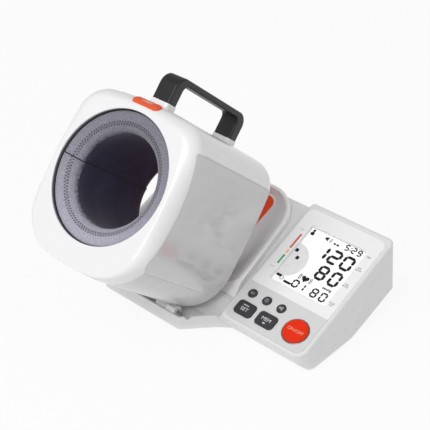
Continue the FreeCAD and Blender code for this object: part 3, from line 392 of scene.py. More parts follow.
def ring_across(centre, ahead, out, radius, sides):
    """A ring of points across the way that a thread runs, its radius in millimetres."""
    level = ahead.cross(out)
    spots = round_outline(0.0, 0.0, radius * MM, sides)
    return [centre + out * x + level * y for x, y in spots]


def smooth_curve(keys, steps):
    """A Catmull-Rom curve through key points, with so many steps from each to the next."""
    padded = [keys[0], *keys, keys[-1]]
    points = []
    for corners in zip(padded, padded[1:], padded[2:], padded[3:]):
        for step in range(steps):
            t = step / steps
            points.append(tuple(
                b + (c - a + (2 * a - 5 * b + 4 * c - d + (3 * b - a - 3 * c + d) * t) * t) * t / 2
                for a, b, c, d in zip(*corners)
            ))
    return points + [keys[-1]]


def round_outline(x, y, radius, count, start=0.0, turn=FULL_TURN):
    """Points round a circle, or round part of one."""
    angles = [start + turn * step / count for step in range(count)]
    return [(x + radius * math.cos(angle), y + radius * math.sin(angle)) for angle in angles]


def arc_outline(x, y, radius, steps, start, turn=math.pi / 2):
    """Points along part of a circle, from one end to the other."""
    return round_outline(x, y, radius, steps + 1, start, turn * (steps + 1) / steps)


def bar_outline(x0, x1, y0, y1, corner=0.0):
    """A rectangle, with round corners if wanted."""
    if corner <= 0:
        return [(x0, y0), (x1, y0), (x1, y1), (x0, y1)]
    left, right, low, high = x0 + corner, x1 - corner, y0 + corner, y1 - corner
    outline = []
    for quarter, (x, y) in enumerate(((right, low), (right, high), (left, high), (left, low))):
        outline += arc_outline(x, y, corner, 6, math.pi / 2 * (quarter - 1))
    return outline


def ring_outlines(x, y, outer, inner, start, turn, count):
    """A band along part of a circle, as a row of small quads."""
    quads = []
    for step in range(count):
        first = start + turn * step / count
        last = start + turn * (step + 1) / count
        corners = ((inner, first), (outer, first), (outer, last), (inner, last))
        quads.append([
            (x + reach * math.cos(angle), y + reach * math.sin(angle)) for reach, angle in corners
        ])
    return quads


def heart_outline(x, y, size, count=48):
    """A plain heart, drawn as a well-known curve that is 32 wide."""
    outline = []
    for step in range(count):
        t = FULL_TURN * step / count
        px = 16 * math.sin(t) ** 3
        py = 13 * math.cos(t) - 5 * math.cos(2 * t) - 2 * math.cos(3 * t) - math.cos(4 * t)
        outline.append((x + px * size / 32, y + py * size / 32))
    return outline


# The segments that each digit lights, and each segment's ends as column and row
SEGMENTS = {
    "0": "abcdef", "1": "bc", "2": "abged", "3": "abgcd", "4": "fgbc",
    "5": "afgcd", "6": "afgedc", "7": "abc", "8": "abcdefg", "9": "abcdfg",
}
SEGMENT_ENDS = {
    "a": (0, 2, 1, 2), "b": (1, 1, 1, 2), "c": (1, 0, 1, 1), "d": (0, 0, 1, 0),
    "e": (0, 0, 0, 1), "f": (0, 1, 0, 2), "g": (0, 1, 1, 1),
}
SEGMENT_GAP = 0.03
DIGIT_LEAN = 0.03


def digit_outlines(digit, x, y, width, height, line):
    """The lit segments of one display digit, as leaning bars with pointed ends."""
    half = line / 2
    columns = (x + half, x + width - half)
    rows = (y + half, y + height / 2, y + height - half)
    outlines = []
    for letter in SEGMENTS[digit]:
        column, row, last_column, last_row = SEGMENT_ENDS[letter]
        along = Vector((last_column - column, last_row - row))
        begin = Vector((columns[column], rows[row])) + along * line * SEGMENT_GAP
        end = Vector((columns[last_column], rows[last_row])) - along * line * SEGMENT_GAP
        point, side = along * half, along.yx * half
        bar = (
            begin, begin + point + side, end - point + side,
            end, end - point - side, begin + point - side,
        )
        outlines.append([(px + (py - y) * DIGIT_LEAN, py) for px, py in bar])
    return outlines


def number_outlines(text, right, y, width, height, line, gap):
    """A number set in display digits, ending at its right edge."""
    outlines = []
    x = right - len(text) * width - (len(text) - 1) * gap
    for digit in text:
        outlines += digit_outlines(digit, x, y, width, height, line)
        x += width + gap
    return outlines


# The lining's profile in millimetres, as radius and depth: its face from the edge under the bezel
# to the rear edge, and its back from there to the front again
FACE_KEYS = [
    (71.2, 7.0), (71.2, 5.9), (70.4, 5.0), (68.4, 4.7), (65.6, 4.9), (62.8, 5.5), (60.4, 6.3),
    (58.2, 7.2), (56.0, 8.3), (54.0, 9.8), (52.2, 11.8), (51.0, 14.2), (50.5, 17.0), (50.7, 20.0),
    (51.4, 23.6), (52.5, 28.4), (53.4, 34.4), (53.9, 42.0), (54.0, 54.0), (54.0, 72.0),
    (54.0, 92.0), (54.0, 108.0), (54.0, 118.0), (54.1, 126.0), (54.8, 132.6), (57.2, 139.4),
    (61.8, 146.2), (67.6, 152.2), (73.2, 157.0), (77.2, 160.3), (78.9, 161.3),
]
BACK_KEYS = [
    (79.0, 159.9), (75.6, 155.6), (70.6, 149.2), (65.9, 142.3), (61.4, 134.6), (57.8, 127.2),
    (56.2, 122.4), (56.0, 115.0), (56.0, 88.0), (56.0, 60.0), (56.0, 34.0), (56.2, 25.0),
    (57.2, 19.6), (59.2, 15.0), (61.6, 12.0), (64.8, 9.6), (68.0, 8.3), (70.4, 8.0),
]
FACE = smooth_curve(FACE_KEYS, 3)
BACK = smooth_curve(BACK_KEYS, 2)

# The overlap: the angle of its edge, its thickness in millimetres and the angle of its fading
SEAM = math.radians(178.0)
FLAP_RISE = 1.0
FLAP_REACH = math.radians(46.0)

# The stitched band's outer and inner radius and the line that its thread pulls in, in millimetres
BAND = (60.5, 56.4)
PINCH_RADIUS, PINCH_WIDTH, PUCKER = 58.4, 1.8, 0.08
BAND_DEPTH = 30.0

# The lining's unevenness in millimetres with its waves around and along the tunnel, its share on
# the lip and how deep that goes, and the lip's depth and shares of movement inward and forward
UNEVEN, WAVES_AROUND, WAVES_ALONG = 0.55, 1.6, 0.05
UNEVEN_LIP, UNEVEN_LIP_DEPTH = 0.35, 12.0
LIP_DEPTH, LIP_INWARD, LIP_FORWARD = 16.0, 0.25, 0.8


def flap_rise(angle):
    """How far the lining's overlapping flap stands in from the layer under it, past the seam."""
    past = (angle - SEAM) % FULL_TURN
    return FLAP_RISE * (1 - past / FLAP_REACH) ** 1.4 if past <= FLAP_REACH else 0.0


def drum_point(radius, depth, angle):
    """A point around the tunnel's axis, from millimetres in the drum's frame to the shared one."""
    return DRUM @ (Vector((radius * math.cos(angle), depth, radius * math.sin(angle))) * MM)


def lining_point(radius, depth, angle):
    """A point of the lining's face, with its soft unevenness, in the shared frame."""
    around = Vector((math.cos(angle), math.sin(angle), 0)) * WAVES_AROUND
    uneven = UNEVEN * noise.noise(around + Vector((0, 0, depth * WAVES_ALONG)))
    if depth <= UNEVEN_LIP_DEPTH:
        uneven *= UNEVEN_LIP
    pinch = math.exp(-((radius - PINCH_RADIUS) / PINCH_WIDTH) ** 2) if depth < BAND_DEPTH else 0.0
    pucker = PUCKER * pinch * math.cos(bpy.context.scene.monitor_cuff.stitches * angle)
    inward = flap_rise(angle) + uneven + pucker
    if depth < LIP_DEPTH:
        return drum_point(radius - LIP_INWARD * inward, depth - LIP_FORWARD * inward, angle)
    return drum_point(radius - inward, depth, angle)


def paint(name, thing, default):
    """A colour of some thing that a user can change."""
    return bpy.props.FloatVectorProperty(
        name=name, description="Colour of " + thing, subtype="COLOR", default=default
    )


def reading(name, thing, default):
    """A text on the display that a user can change."""
    return bpy.props.StringProperty(name=name, description=thing + " shown", default=default)


class CuffLook(bpy.types.PropertyGroup):
    """Colours and sizes of the cuff."""

    lip: paint("Lip", "the brushed fabric lip", (0.285, 0.279, 0.332))
    tunnel: paint("Tunnel", "the dark tunnel lining", (0.047, 0.046, 0.098))
    thread: paint("Thread", "the stitching", (0.036, 0.035, 0.046))
    stitches: bpy.props.IntProperty(
        name="Stitches", description="Zigzags of the stitching ring", default=112, min=12, max=200
    )
    columns: bpy.props.IntProperty(
        name="Columns", description="Steps of the lining's mesh", default=224, min=48, max=400
    )


class ShellLook(bpy.types.PropertyGroup):
    """Colours of the moulded parts and the elbow cushion."""

    white: paint("White", "the white shells", (0.84, 0.84, 0.85))
    # The drum's flat sides are painted grey where the white plastic looks darker, as painted shade
    # and reflection
    side: paint("Side panels", "the drum's side panels", (0.61, 0.605, 0.61))
    # The base's upper shell is painted greyer than the white shells, as painted shade
    housing: paint("Housing", "the base's upper shell", (0.77, 0.77, 0.775))
    plate: paint("Plate", "the display plate", (0.89, 0.89, 0.89))
    cushion: paint("Cushion", "the elbow cushion", (0.95, 0.075, 0.002))
    # The mouth wall's dark colour, which carries painted shade that darkens it further in
    mouth_wall_shade: paint("Mouth wall", "the wall around the lip", (0.150, 0.138, 0.142))
    open_orange: paint("Open button", "the open button", (0.82, 0.10, 0.022))
    # The elbow rest is painted whiter than the other white shells, as painted light against the
    # drum's shadow
    rest: paint("Elbow rest", "the scooped rest", (0.93, 0.925, 0.93))
    # The drum's rounded lower shell is painted grey, as painted shade
    lower: paint("Lower shell", "the drum's lower shell", (0.615, 0.613, 0.618))
    pale: paint("Pale grey", "the keypad and the battery door", (0.68, 0.68, 0.685))
    charcoal: paint("Charcoal", "the carry handle", (0.010, 0.0104, 0.0125))
    orange: paint("Orange", "the power button", (0.78, 0.026, 0.001))
    key: paint("Keys", "the small and large keys", (0.034, 0.034, 0.038))


class DisplayLook(bpy.types.PropertyGroup):
    """The reading on the display."""

    upper: reading("Upper", "Upper pressure", "120")
    lower: reading("Lower", "Lower pressure", "80")
    pulse: reading("Pulse", "Pulse", "80")
    store: reading("Store", "Number of the stored reading", "01")
    hour: reading("Hour", "Hour", "5")
    minute: reading("Minute", "Minute", "29")
    ink: paint("Segments", "the lit segments", (0.012, 0.012, 0.014))


class StudioLook(bpy.types.PropertyGroup):
    """Strength of the light."""

    key_power: bpy.props.FloatProperty(
        name="Key light", description="Power of the soft light", default=42.0, min=0.0, unit="POWER"
    )
    fill_power: bpy.props.FloatProperty(
        name="Fill light", description="Power of the fill light", default=0.8, min=0.0, unit="POWER"
    )
    sky: bpy.props.FloatProperty(
        name="Sky", description="Strength of the even light", default=0.58, min=0.0
    )


def panel_bounds(node):
    """A node's extent in the panel's frame, in millimetres: lowest and highest X, Y and Z."""
    back = PANEL.inverted()
    local = [back @ vertex.co / MM for vertex in frame["nodes"][node].data.vertices]
    return [pick(values) for values in zip(*local) for pick in (min, max)]


def dress(material, *nodes):
    """Gives carried-over nodes a finish."""
    for name in nodes:
        mesh = frame["nodes"][name].data
        mesh.materials.clear()
        mesh.materials.append(material)


def mouth_wall_shade(finish, white):
    """The bezel's white, with the wall of its mouth painted dark, and painted shade that darkens it
    further in.
    """
    colour = bpy.context.scene.monitor_shells.mouth_wall_shade
    wall_radius, radius_blur, wall_start, start_blur = 72.4 * MM, 0.3 * MM, 1.2 * MM, 0.4 * MM
    deep_start, deep_reach = 1.6 * MM, 3.6 * MM
    across, height, depth = finish.in_mouth()
    reach = (across * across + height * height) ** 0.5
    wall = ((wall_radius - reach) / radius_blur).clamped()
    wall *= ((depth - wall_start) / start_blur).clamped()
    # Painted shade: the wall is lighter at the mouth's front edge and darker further in
    deep = ((depth - deep_start) / deep_reach).clamped()
    return finish.blend(wall, white, finish.mottle(deep, colour, 1.5, 0.4))


class MONITOR_OT_shells(bpy.types.Operator):
    """Finish the moulded shells, panels, handle and keys"""

    bl_idname = "monitor.shells"
    bl_label = "Moulded shells"

    def execute(self, context):
        look = context.scene.monitor_shells
        sides = ("side_panel_right", "side_panel_left")
        pale_parts = ("battery_door", "keypad_plate")
        white = (look.white, 0.26, 2400.0, 3e-5, 0.25, 0.012)
        # Nodes, finish, colour, roughness, grains per metre, grain depth, coat, dust, specular
        finishes = (
            (("drum_upper_shell", "base_lower_shell"), "white_shell", *white),
            # The elbow rest is painted whiter, as painted light
            (("elbow_rest",), "rest_shell", look.rest, 0.3, 2400.0, 3e-5, 0.0, 0.012),
            # The drum's side panels are painted grey, as painted shade and reflection
            (sides, "grey_panel", look.side, 0.12, 2400.0, 1e-5, 0.7, 0.015),
            (pale_parts, "pale_shell", look.pale, 0.36, 1800.0, 5e-5, 0.0, 0.02),
            (("carry_handle",), "charcoal_handle", look.charcoal, 0.42, 1500.0, 1.2e-4, 0.0, 0.1),
            (("power_button",), "orange_button", look.orange, 0.34, 2200.0, 3e-5, 0.0, 0.03, 0.25),
            (("open_button",), "open_orange", look.open_orange, 0.3, 2200.0, 3e-5, 0.0, 0.03, 0.35),
            (KEYS[:-1], "key_plastic", look.key, 0.38, 2000.0, 6e-5, 0.0, 0.08),
            # The base's upper shell is painted greyer, as painted shade
            (("base_upper_shell",), "base_housing", look.housing, 0.28, 2400.0, 3e-5, 0.2, 0.012),
            (("display_plate",), "panel_plate", look.plate, 0.3, 2600.0, 2e-5, 0.1, 0.01),
            # The drum's lower shell is painted grey, as painted shade
            (("drum_lower_shell",), "lower_shell", look.lower, 0.28, 2400.0, 3e-5, 0.2, 0.012),
        )
        for nodes, *settings in finishes:
            dress(moulded_plastic(*settings), *nodes)
        # The bezel's mouth wall gets painted shade
        dress(moulded_plastic("bezel_shell", *white, paint_over=mouth_wall_shade), "front_bezel")
        return {"FINISHED"}


def glowing_display_backing():
    """The pale reflective backing of the display, with a faint painted glow that brightens it."""
    finish = Finish("glowing_display_backing")
    sheen = finish.speckle(22.0, 3.0)
    grit = finish.speckle(9000.0)
    finish.set(
        Base_Color=finish.blend(sheen, (0.90, 0.905, 0.90, 1.0), (0.93, 0.93, 0.925, 1.0)),
        Roughness=0.5 + (grit - 0.5) * 0.2,
        # Painted light: the backing glows though it holds no lamp
        Emission_Color=(1.0, 1.0, 0.99, 1.0), Emission_Strength=0.24,
    )
    return finish.with_relief(grit, 0.1, 2e-5)


def clear_window():
    """The clear window over the display."""
    finish = Finish("clear_window")
    smears = finish.speckle(45.0, 4.0, 0.6)
    finish.set(
        Base_Color=(0.25, 0.255, 0.26, 1.0),
        Roughness=0.06 + smears * 0.08, Alpha=0.02 + (smears - 0.5) * 0.01,
    )
    return finish.material


class MONITOR_OT_insides(bpy.types.Operator):
    """Finish the hardware, the display and everything inside"""

    bl_idname = "monitor.insides"
    bl_label = "Hardware and insides"

    def execute(self, context):
        dress(
            steel("drawn_steel", (0.55, 0.55, 0.56), 0.32),
            "handle_screws", "drum_screws", "base_screws", "open_button_springs", "pawl_spring",
            "battery_contacts", "pump_motor", "release_valve",
        )
        dress(steel("dark_chrome_ring", (0.46, 0.37, 0.34), 0.11), "power_ring")
        dress(
            moulded_plastic("inner_plastic", (0.52, 0.52, 0.53), 0.45, 1400.0, 8e-5, dust=0.05),
            "cuff_core", "rear_trim_ring", "pawl_guide", "tilt_stops", "display_frame",
            "battery_box", "pump_mount", "pump_head", "latch_pawl", "pressure_sensor",
        )
        dress(
            moulded_plastic("hinge_plastic", (0.70, 0.70, 0.705), 0.38, 1400.0, 6e-5, dust=0.04),
            "hinge_pin_left", "hinge_pin_right", "hinge_bush_left", "hinge_bush_right",
        )
        dress(rubber("foot_rubber", MAT_COLOUR, MAT_GRAIN), "rubber_feet", "key_mat")
        tubes = ("air_bladder", "drum_air_tube", "base_air_tube")
        dress(rubber("tube_rubber", (0.20, 0.20, 0.21), 1100.0), *tubes)
        dress(rubber("cable_sheath", (0.05, 0.05, 0.055), 2200.0), "release_cable")
        dress(rubber("speaker_cone", (0.08, 0.08, 0.085), 900.0), "speaker")
        wrap = moulded_plastic("cell_wrap", (0.10, 0.115, 0.14), 0.28, 1600.0, 2e-5, 0.3, 0.05)
        dress(wrap, *(f"battery_cell_{number}" for number in range(1, 5)))
        mask = moulded_plastic("solder_mask", (0.03, 0.16, 0.07), 0.4, 3000.0, 2e-5, dust=0.08)
        dress(mask, "main_board")
        dress(glowing_display_backing(), "display")
        dress(clear_window(), "display_window")
        return {"FINISHED"}


def cuff_knit(look):
    """Brushed knit at the lip, made lighter low down by painted light, that turns into the dark
    pile of the tunnel with patches of painted sheen.
    """
    border_depth, border_width, fray_reach, lip_height = 0.0138, 0.0042, 0.022, 0.142
    finish = Finish("cuff_knit")
    across, height, depth = finish.in_mouth()
    turn = height.angle_to(across)
    fray = finish.speckle(260.0, 5.0, 0.7)
    inside = ((depth + (fray - 0.5) * fray_reach - border_depth) / border_width).clamped()
    heather = finish.speckle(620.0, 6.0, 0.8)
    patches = finish.speckle(42.0, 3.0, 0.6)
    ribs = (turn * 300.0).sine() * (depth * 5200.0).sine()
    pile = finish.speckle(2600.0, 3.0, 0.8)
    flecks = ((heather - 0.5) * 3.4 + 0.5).clamped()
    lip_tone = finish.mottle(flecks, look.lip, 0.66, 1.34)
    lip_tone = finish.blend(patches * 0.3, lip_tone, shade(look.lip, 0.8))
    # Painted light: the lip's colour runs from 0.74 times at the top of the mouth to 1.54 times at
    # its bottom
    painted_light_below = finish.blend((0.5 - height / lip_height).clamped() ** 1.6, grey(0.74), grey(1.54))
    lip_tone = finish.blend(1.0, lip_tone, painted_light_below, "MULTIPLY")
    tufts = ((pile - 0.5) * 2.2 + 0.5).clamped()
    tunnel_tone = finish.mottle(tufts, look.tunnel, 0.6, 1.7)
    # Painted sheen: random patches of the brushed pile are painted towards a tone 2.3 times lighter
    brushed = ((finish.speckle(30.0, 5.0, 0.65) - 0.48) * 4.0).clamped()
    tunnel_tone = finish.blend(brushed * 0.55, tunnel_tone, shade(look.tunnel, 2.3))
    finish.set(
        Base_Color=finish.blend(inside, lip_tone, tunnel_tone),
        Roughness=0.86 + (heather - 0.5) * 0.12, Specular_IOR_Level=0.2,
        Sheen_Weight=0.25, Sheen_Roughness=0.45,
    )
    return finish.with_relief(ribs * 0.35 + heather * 0.5 + pile * 0.3, 0.55, 3.5e-4)


def make_seam(look):
    """The bound edge of the overlap, along the lip and down the tunnel, in darkened thread as the
    seam's painted shadow line.
    """
    binding_radius, sides = 0.62, 8
    path = [lining_point(radius, depth, SEAM + math.radians(0.2)) for radius, depth in FACE[3:-2]]
    points = []
    for index, point in enumerate(path):
        ahead = path[min(index + 1, len(path) - 1)] - path[max(index - 1, 0)]
        ahead.normalize()
        out = DRUM_UP.cross(ahead).normalized()
        points += ring_across(point, ahead, out, binding_radius, sides)
    # Painted shade: the thread colour darkened to 0.3 stands in for the shadow line along the seam
    shaded_binding = sewing_thread("seam_binding_shade", shade(look.thread, 0.3))
    faces = closed_rings(len(path), sides)
    make_piece("lining_seam", points, faces, shaded_binding, "drum")


class MONITOR_OT_lining(bpy.types.Operator):
    """Build the cuff's fabric lining with its lip, tunnel and overlap"""

    bl_idname = "monitor.lining"
    bl_label = "Cuff lining"

    def execute(self, context):
        look = context.scene.monitor_cuff
        hair = math.radians(0.18)
        span = FULL_TURN - 2 * hair
        angles = [SEAM + hair + span * step / look.columns for step in range(look.columns + 1)]
        points = []
        for angle in angles:
            points += [lining_point(radius, depth, angle) for radius, depth in FACE]
            points += [drum_point(radius, depth, angle) for radius, depth in BACK]
        rows = len(FACE) + len(BACK)
        faces = []
        for column in range(len(angles)):
            here, beside = column * rows, (column + 1) % len(angles) * rows
            for row in range(rows):
                below = (row + 1) % rows
                faces.append([here + row, beside + row, beside + below, here + below])
        piece = make_piece("cuff_lining", points, faces, cuff_knit(look), "drum")
        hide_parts("cuff_liner_upper", "cuff_liner_lower")
        make_seam(look)
        return {"FINISHED"}


def lip_place(share, angle):
    """A point on the lip between the two edges of the stitched band."""
    outer, inner = BAND
    wanted = outer + (inner - outer) * share
    for before, after in zip(FACE, FACE[1:]):
        if after[0] <= wanted <= before[0]:
            t = (before[0] - wanted) / max(before[0] - after[0], 1e-6)
            return lining_point(wanted, before[1] + (after[1] - before[1]) * t, angle)
    raise ValueError("the stitched band lies off the lip")


def add_stitch(points, faces, begin, end):
    """One short raised thread with thick ends, leaning towards the tunnel's axis."""
    sides, rings, lean = 6, 7, 0.35
    foot_rise, arch, thin, swell = 0.08, 0.14, 0.15, 0.27
    faces += closed_rings(rings, sides, len(points))
    ahead = (end - begin).normalized()
    out = (-DRUM_BACK + lean * (MOUTH - begin).normalized()).normalized()
    out = (out - ahead * out.dot(ahead)).normalized()
    for ring in range(rings):
        t = ring / (rings - 1)
        rise = foot_rise + arch * math.sin(math.pi * t)
        thick = thin + swell * math.cos(math.pi * t) ** 2
        points += ring_across(begin.lerp(end, t) + out * (rise * MM), ahead, out, thick, sides)


class MONITOR_OT_stitching(bpy.types.Operator):
    """Sew the zigzag ring into the cuff's lip"""

    bl_idname = "monitor.stitching"
    bl_label = "Lip stitching"

    def execute(self, context):
        look = context.scene.monitor_cuff
        points, faces = [], []
        steps = 2 * look.stitches
        gap = 0.08
        for step in range(steps):
            first = SEAM + FULL_TURN * (step + gap) / steps
            last = SEAM + FULL_TURN * (step + 1 - gap) / steps
            near, far = (0.0, 1.0) if step % 2 else (1.0, 0.0)
            add_stitch(points, faces, lip_place(near, first), lip_place(far, last))
        thread = sewing_thread("lip_thread", look.thread)
        make_piece("lip_stitching", points, faces, thread, "drum")
        return {"FINISHED"}


def cushion_outline(left, right, front, rear):
    """The cushion's plan: straight at the drum, round at the rear, slightly waisted sides."""
    corner, waist, steps, corner_steps = 11.0, 0.5, 36, 12
    inner_steps = [step / steps for step in range(1, steps)]
    side = rear - corner - front
    points = [(left + (right - left) * step / steps, front) for step in range(steps + 1)]
    points += [(right - waist * math.sin(math.pi * t), front + side * t) for t in inner_steps]
    points += arc_outline(right - corner, rear - corner, corner, corner_steps, 0.0)
    points += [(right - corner - (right - left - 2 * corner) * t, rear) for t in inner_steps]
    points += arc_outline(left + corner, rear - corner, corner, corner_steps, math.pi / 2)
    points += [(left + waist * math.sin(math.pi * t), front + side * (1 - t)) for t in inner_steps]
    return points


def cushion_skin(colour):
    """Soft coated foam with a fine leather grain."""
    finish = Finish("cushion_skin")
    grain = finish.cells(1300.0)
    cloudy = finish.speckle(36.0, 4.0, 0.6)
    finish.set(
        Base_Color=finish.mottle(cloudy, colour, 0.92, 1.06),
        Roughness=0.5 + (cloudy - 0.5) * 0.14 + (grain - 0.4) * 0.1, Specular_IOR_Level=0.4,
    )
    return finish.with_relief(grain, 0.3, 1.2e-4)


class MONITOR_OT_cushion(bpy.types.Operator):
    """Build the crowned cushion of the elbow rest"""

    bl_idname = "monitor.cushion"
    bl_label = "Elbow cushion"

    def execute(self, context):
        left, right, front, rear, low, high = panel_bounds("elbow_pad")
        front_gap, foot_gap, squeeze = 1.2, 0.02, 0.92
        sag_depth, sag_waves, crown_start = 0.12, 0.05, 0.98
        outline = cushion_outline(left, right, front + front_gap, rear)
        middle = Vector(((left + right) / 2, (front + rear) / 2))
        # Shares of the outline's width and of the pad's height, up the side and in over the crown
        rings = [
            (0.985, 0.0), (0.997, 0.25), (1.0, 0.55), (0.997, 0.85), (0.986, 1.05), (0.965, 1.16),
            (0.93, 1.26), (0.87, 1.36), (0.78, 1.44), (0.66, 1.48), (0.5, 1.5), (0.32, 1.5),
            (0.14, 1.5),
        ]
        points = []
        for share, level in rings:
            for x, y in outline:
                flat = middle + (Vector((x, y)) - middle) * share
                sag = 0.0
                if share < crown_start:
                    sag = sag_depth * noise.noise(Vector((x * sag_waves, y * sag_waves, level)))
                rise = (high - low) * (level + sag) * squeeze
                points.append(PANEL @ (Vector((*flat, low + rise + foot_gap)) * MM))
        faces = closed_rings(len(rings), len(outline))
        skin = cushion_skin(context.scene.monitor_shells.cushion)
        piece = make_piece("elbow_cushion", points, faces, skin)
        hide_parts("elbow_pad")
        return {"FINISHED"}


def make_dome(key, x, y, low, high, skin):
    """A hollow-sided dome with a flat plunger, standing on the mat."""
    # Radius in millimetres and share of the height
    profile = [
        (2.6, 0.01), (2.55, 0.08), (2.4, 0.3), (2.2, 0.55), (1.9, 0.68), (1.55, 0.74), (1.45, 0.8),
        (1.45, 0.93), (1.35, 0.98), (1.1, 1.0), (0.4, 1.0),
    ]
    sides = 28
    points = []
    for radius, share in profile:
        level = low + (high - low) * share
        spots = round_outline(x, y, radius, sides)
        points += [PANEL @ (Vector((*spot, level)) * MM) for spot in spots]
    faces = closed_rings(len(profile), sides)
    piece = make_piece("dome_" + key, points, faces, skin)
    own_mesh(piece)


class MONITOR_OT_key_mat(bpy.types.Operator):
    """Build the key mat with a rubber dome under each key"""

    bl_idname = "monitor.key_mat"
    bl_label = "Key mat"

    def execute(self, context):
        sheet_thickness, sheet_corner = 1.0, 2.0
        skin = rubber("mat_rubber", MAT_COLOUR, MAT_GRAIN)
        left, right, front, rear, low, high = panel_bounds("key_mat")
        top = low + sheet_thickness
        outline = bar_outline(left, right, front, rear, sheet_corner)
        sheet = make_prisms("key_mat_sheet", [outline], (low, top), skin)
        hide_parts("key_mat")
        for key in KEYS:
            x0, x1, y0, y1 = panel_bounds(key)[:4]
            make_dome(key, (x0 + x1) / 2, (y0 + y1) / 2, top, high, skin)
        return {"FINISHED"}


def mark_outlines():
    """Small signs of the display: heart, level squares, user, sound, cuff, store and time."""
    bars = (
        (115.8, 119.8, 104.6, 109.0), (122.2, 126.2, 96.4, 100.8), (136.4, 138.2, 133.8, 136.8),
        (148.6, 151.4, 132.4, 134.6), (152.4, 155.4, 132.4, 134.6), (117.2, 121.8, 131, 134.8, 1.0),
        (116.8, 123.2, 69.4, 72.6, 0.8), (129.2, 138.6, 65.6, 68.4, 0.5),
    )
    shapes = [bar_outline(*bar) for bar in bars]
    shapes += [heart_outline(149.0, 80.2, 9.2), round_outline(119.6, 137.6, 1.5, 20)]
    shapes += [[(118.2, 134.6), (121.0, 134.6), (120.4, 136.2), (118.8, 136.2)]]
    shapes += [[(138.2, 133.8), (140.4, 132.0), (140.4, 138.4), (138.2, 136.8)]]
    shapes += ring_outlines(124.8, 69.2, 2.4, 1.8, 0.0, FULL_TURN, 20)
    for side in (0.0, math.pi):
        for reach in (6.8, 8.5):
            shapes += ring_outlines(149.0, 80.4, reach, reach - 0.8, side - 0.5, 1.0, 6)
    for reach in (2.5, 4.0):
        shapes += ring_outlines(141.0, 135.2, reach, reach - 0.6, -0.8, 1.6, 8)
    return shapes


class MONITOR_OT_reading(bpy.types.Operator):
    """Light the display's digits and marks"""

    bl_idname = "monitor.reading"
    bl_label = "Display reading"

    def execute(self, context):
        look = context.scene.monitor_display
        low, high = -1.69, -1.60
        ink = printed_ink("lit_segments", look.ink, 0.5, 0.08)
        tint = printed_ink("display_tint", (0.87, 0.87, 0.875), 0.5, 0.1)
        # Painted shade: dark lines on the display's left and top edges stand in for the shaded
        # walls of its recess
        line = printed_ink("display_edge_shade_ink", (0.16, 0.16, 0.17))
        # Text, right edge, foot, width and height of a digit, its line and the gap to the next
        numbers = (
            (look.upper, 184.2, 108.9, 14.2, 19.4, 3.4, 2.5),
            (look.lower, 183.8, 85.6, 12.8, 19.6, 3.3, 4.4),
            (look.store, 155.5, 65.1, 8.4, 10.4, 2.1, 0.0),
            (look.pulse, 183.8, 64.6, 8.2, 12.0, 2.0, 3.4),
            (look.minute, 184.2, 132.0, 5.6, 8.2, 1.5, 1.8),
            (look.hour, 168.0, 132.0, 5.6, 8.2, 1.5, 1.8),
        )
        digits = [outline for number in numbers for outline in number_outlines(*number)]
        digits += [round_outline(169.9, 134.4, 0.7, 16), round_outline(170.1, 137.8, 0.7, 16)]
        disc = arc_outline(115.2, 93.0, 23.5, 47, -math.pi / 2, math.pi)
        # Lines along the left and top edges only, as painted shade of the recess walls
        edge_shade = [bar_outline(114.3, 114.9, 62.6, 141.0), bar_outline(114.9, 188.4, 140.5, 141.0)]
        make_prisms("display_digits", digits, (low, high), ink)
        make_prisms("display_marks", mark_outlines(), (low, high), ink)
        make_words("display_unit", "mmHg", 4.2, (177.6, 80.9), -1.63, ink, "ring_dark", bold=0.16)
        make_prisms("display_half_disc", [disc], (low, high - 0.05), tint)
        make_prisms("display_edge_shade", edge_shade, (low, high), line)
        return {"FINISHED"}


class MONITOR_OT_panel_print(bpy.types.Operator):
    """Print the colour scale and the small marks beside the display"""

    bl_idname = "monitor.panel_print"
    bl_label = "Panel print"

    def execute(self, context):
        levels, letter_level, bold = (0.28, 0.34), 0.32, 0.05
        scale = (
            ("scale_red", (0.66, 0.10, 0.05), 104.6, 125.6),
            ("scale_yellow", (0.80, 0.55, 0.10), 96.8, 102.4),
            ("scale_green", (0.06, 0.36, 0.19), 81.4, 94.4),
        )
        for name, colour, low, high in scale:
            bar = bar_outline(109.0, 111.4, low, high)
            make_prisms(name, [bar], levels, printed_ink(name + "_ink", colour))
        label_ink = printed_ink("label_ink", (0.22, 0.22, 0.23))
        words = (
            ("upper", "SYS\nmmHg", 2.9, (193.6, 117.8)),
            ("lower", "DIA\nmmHg", 2.9, (193.6, 94.2)),
            ("pulse", "PULSE\n/min", 2.6, (193.6, 67.4)),
            ("time", "TIME", 2.5, (193.8, 135.6)),
        )
        for name, *word in words:
            make_words("label_" + name, *word, letter_level, label_ink, "shell_white", bold=bold)
        ticks = [bar_outline(104.6, 109.6, 131.4, 131.8), bar_outline(104.6, 110.6, 75.6, 76.0)]
        make_prisms("scale_ticks", ticks, levels, label_ink)
        return {"FINISHED"}


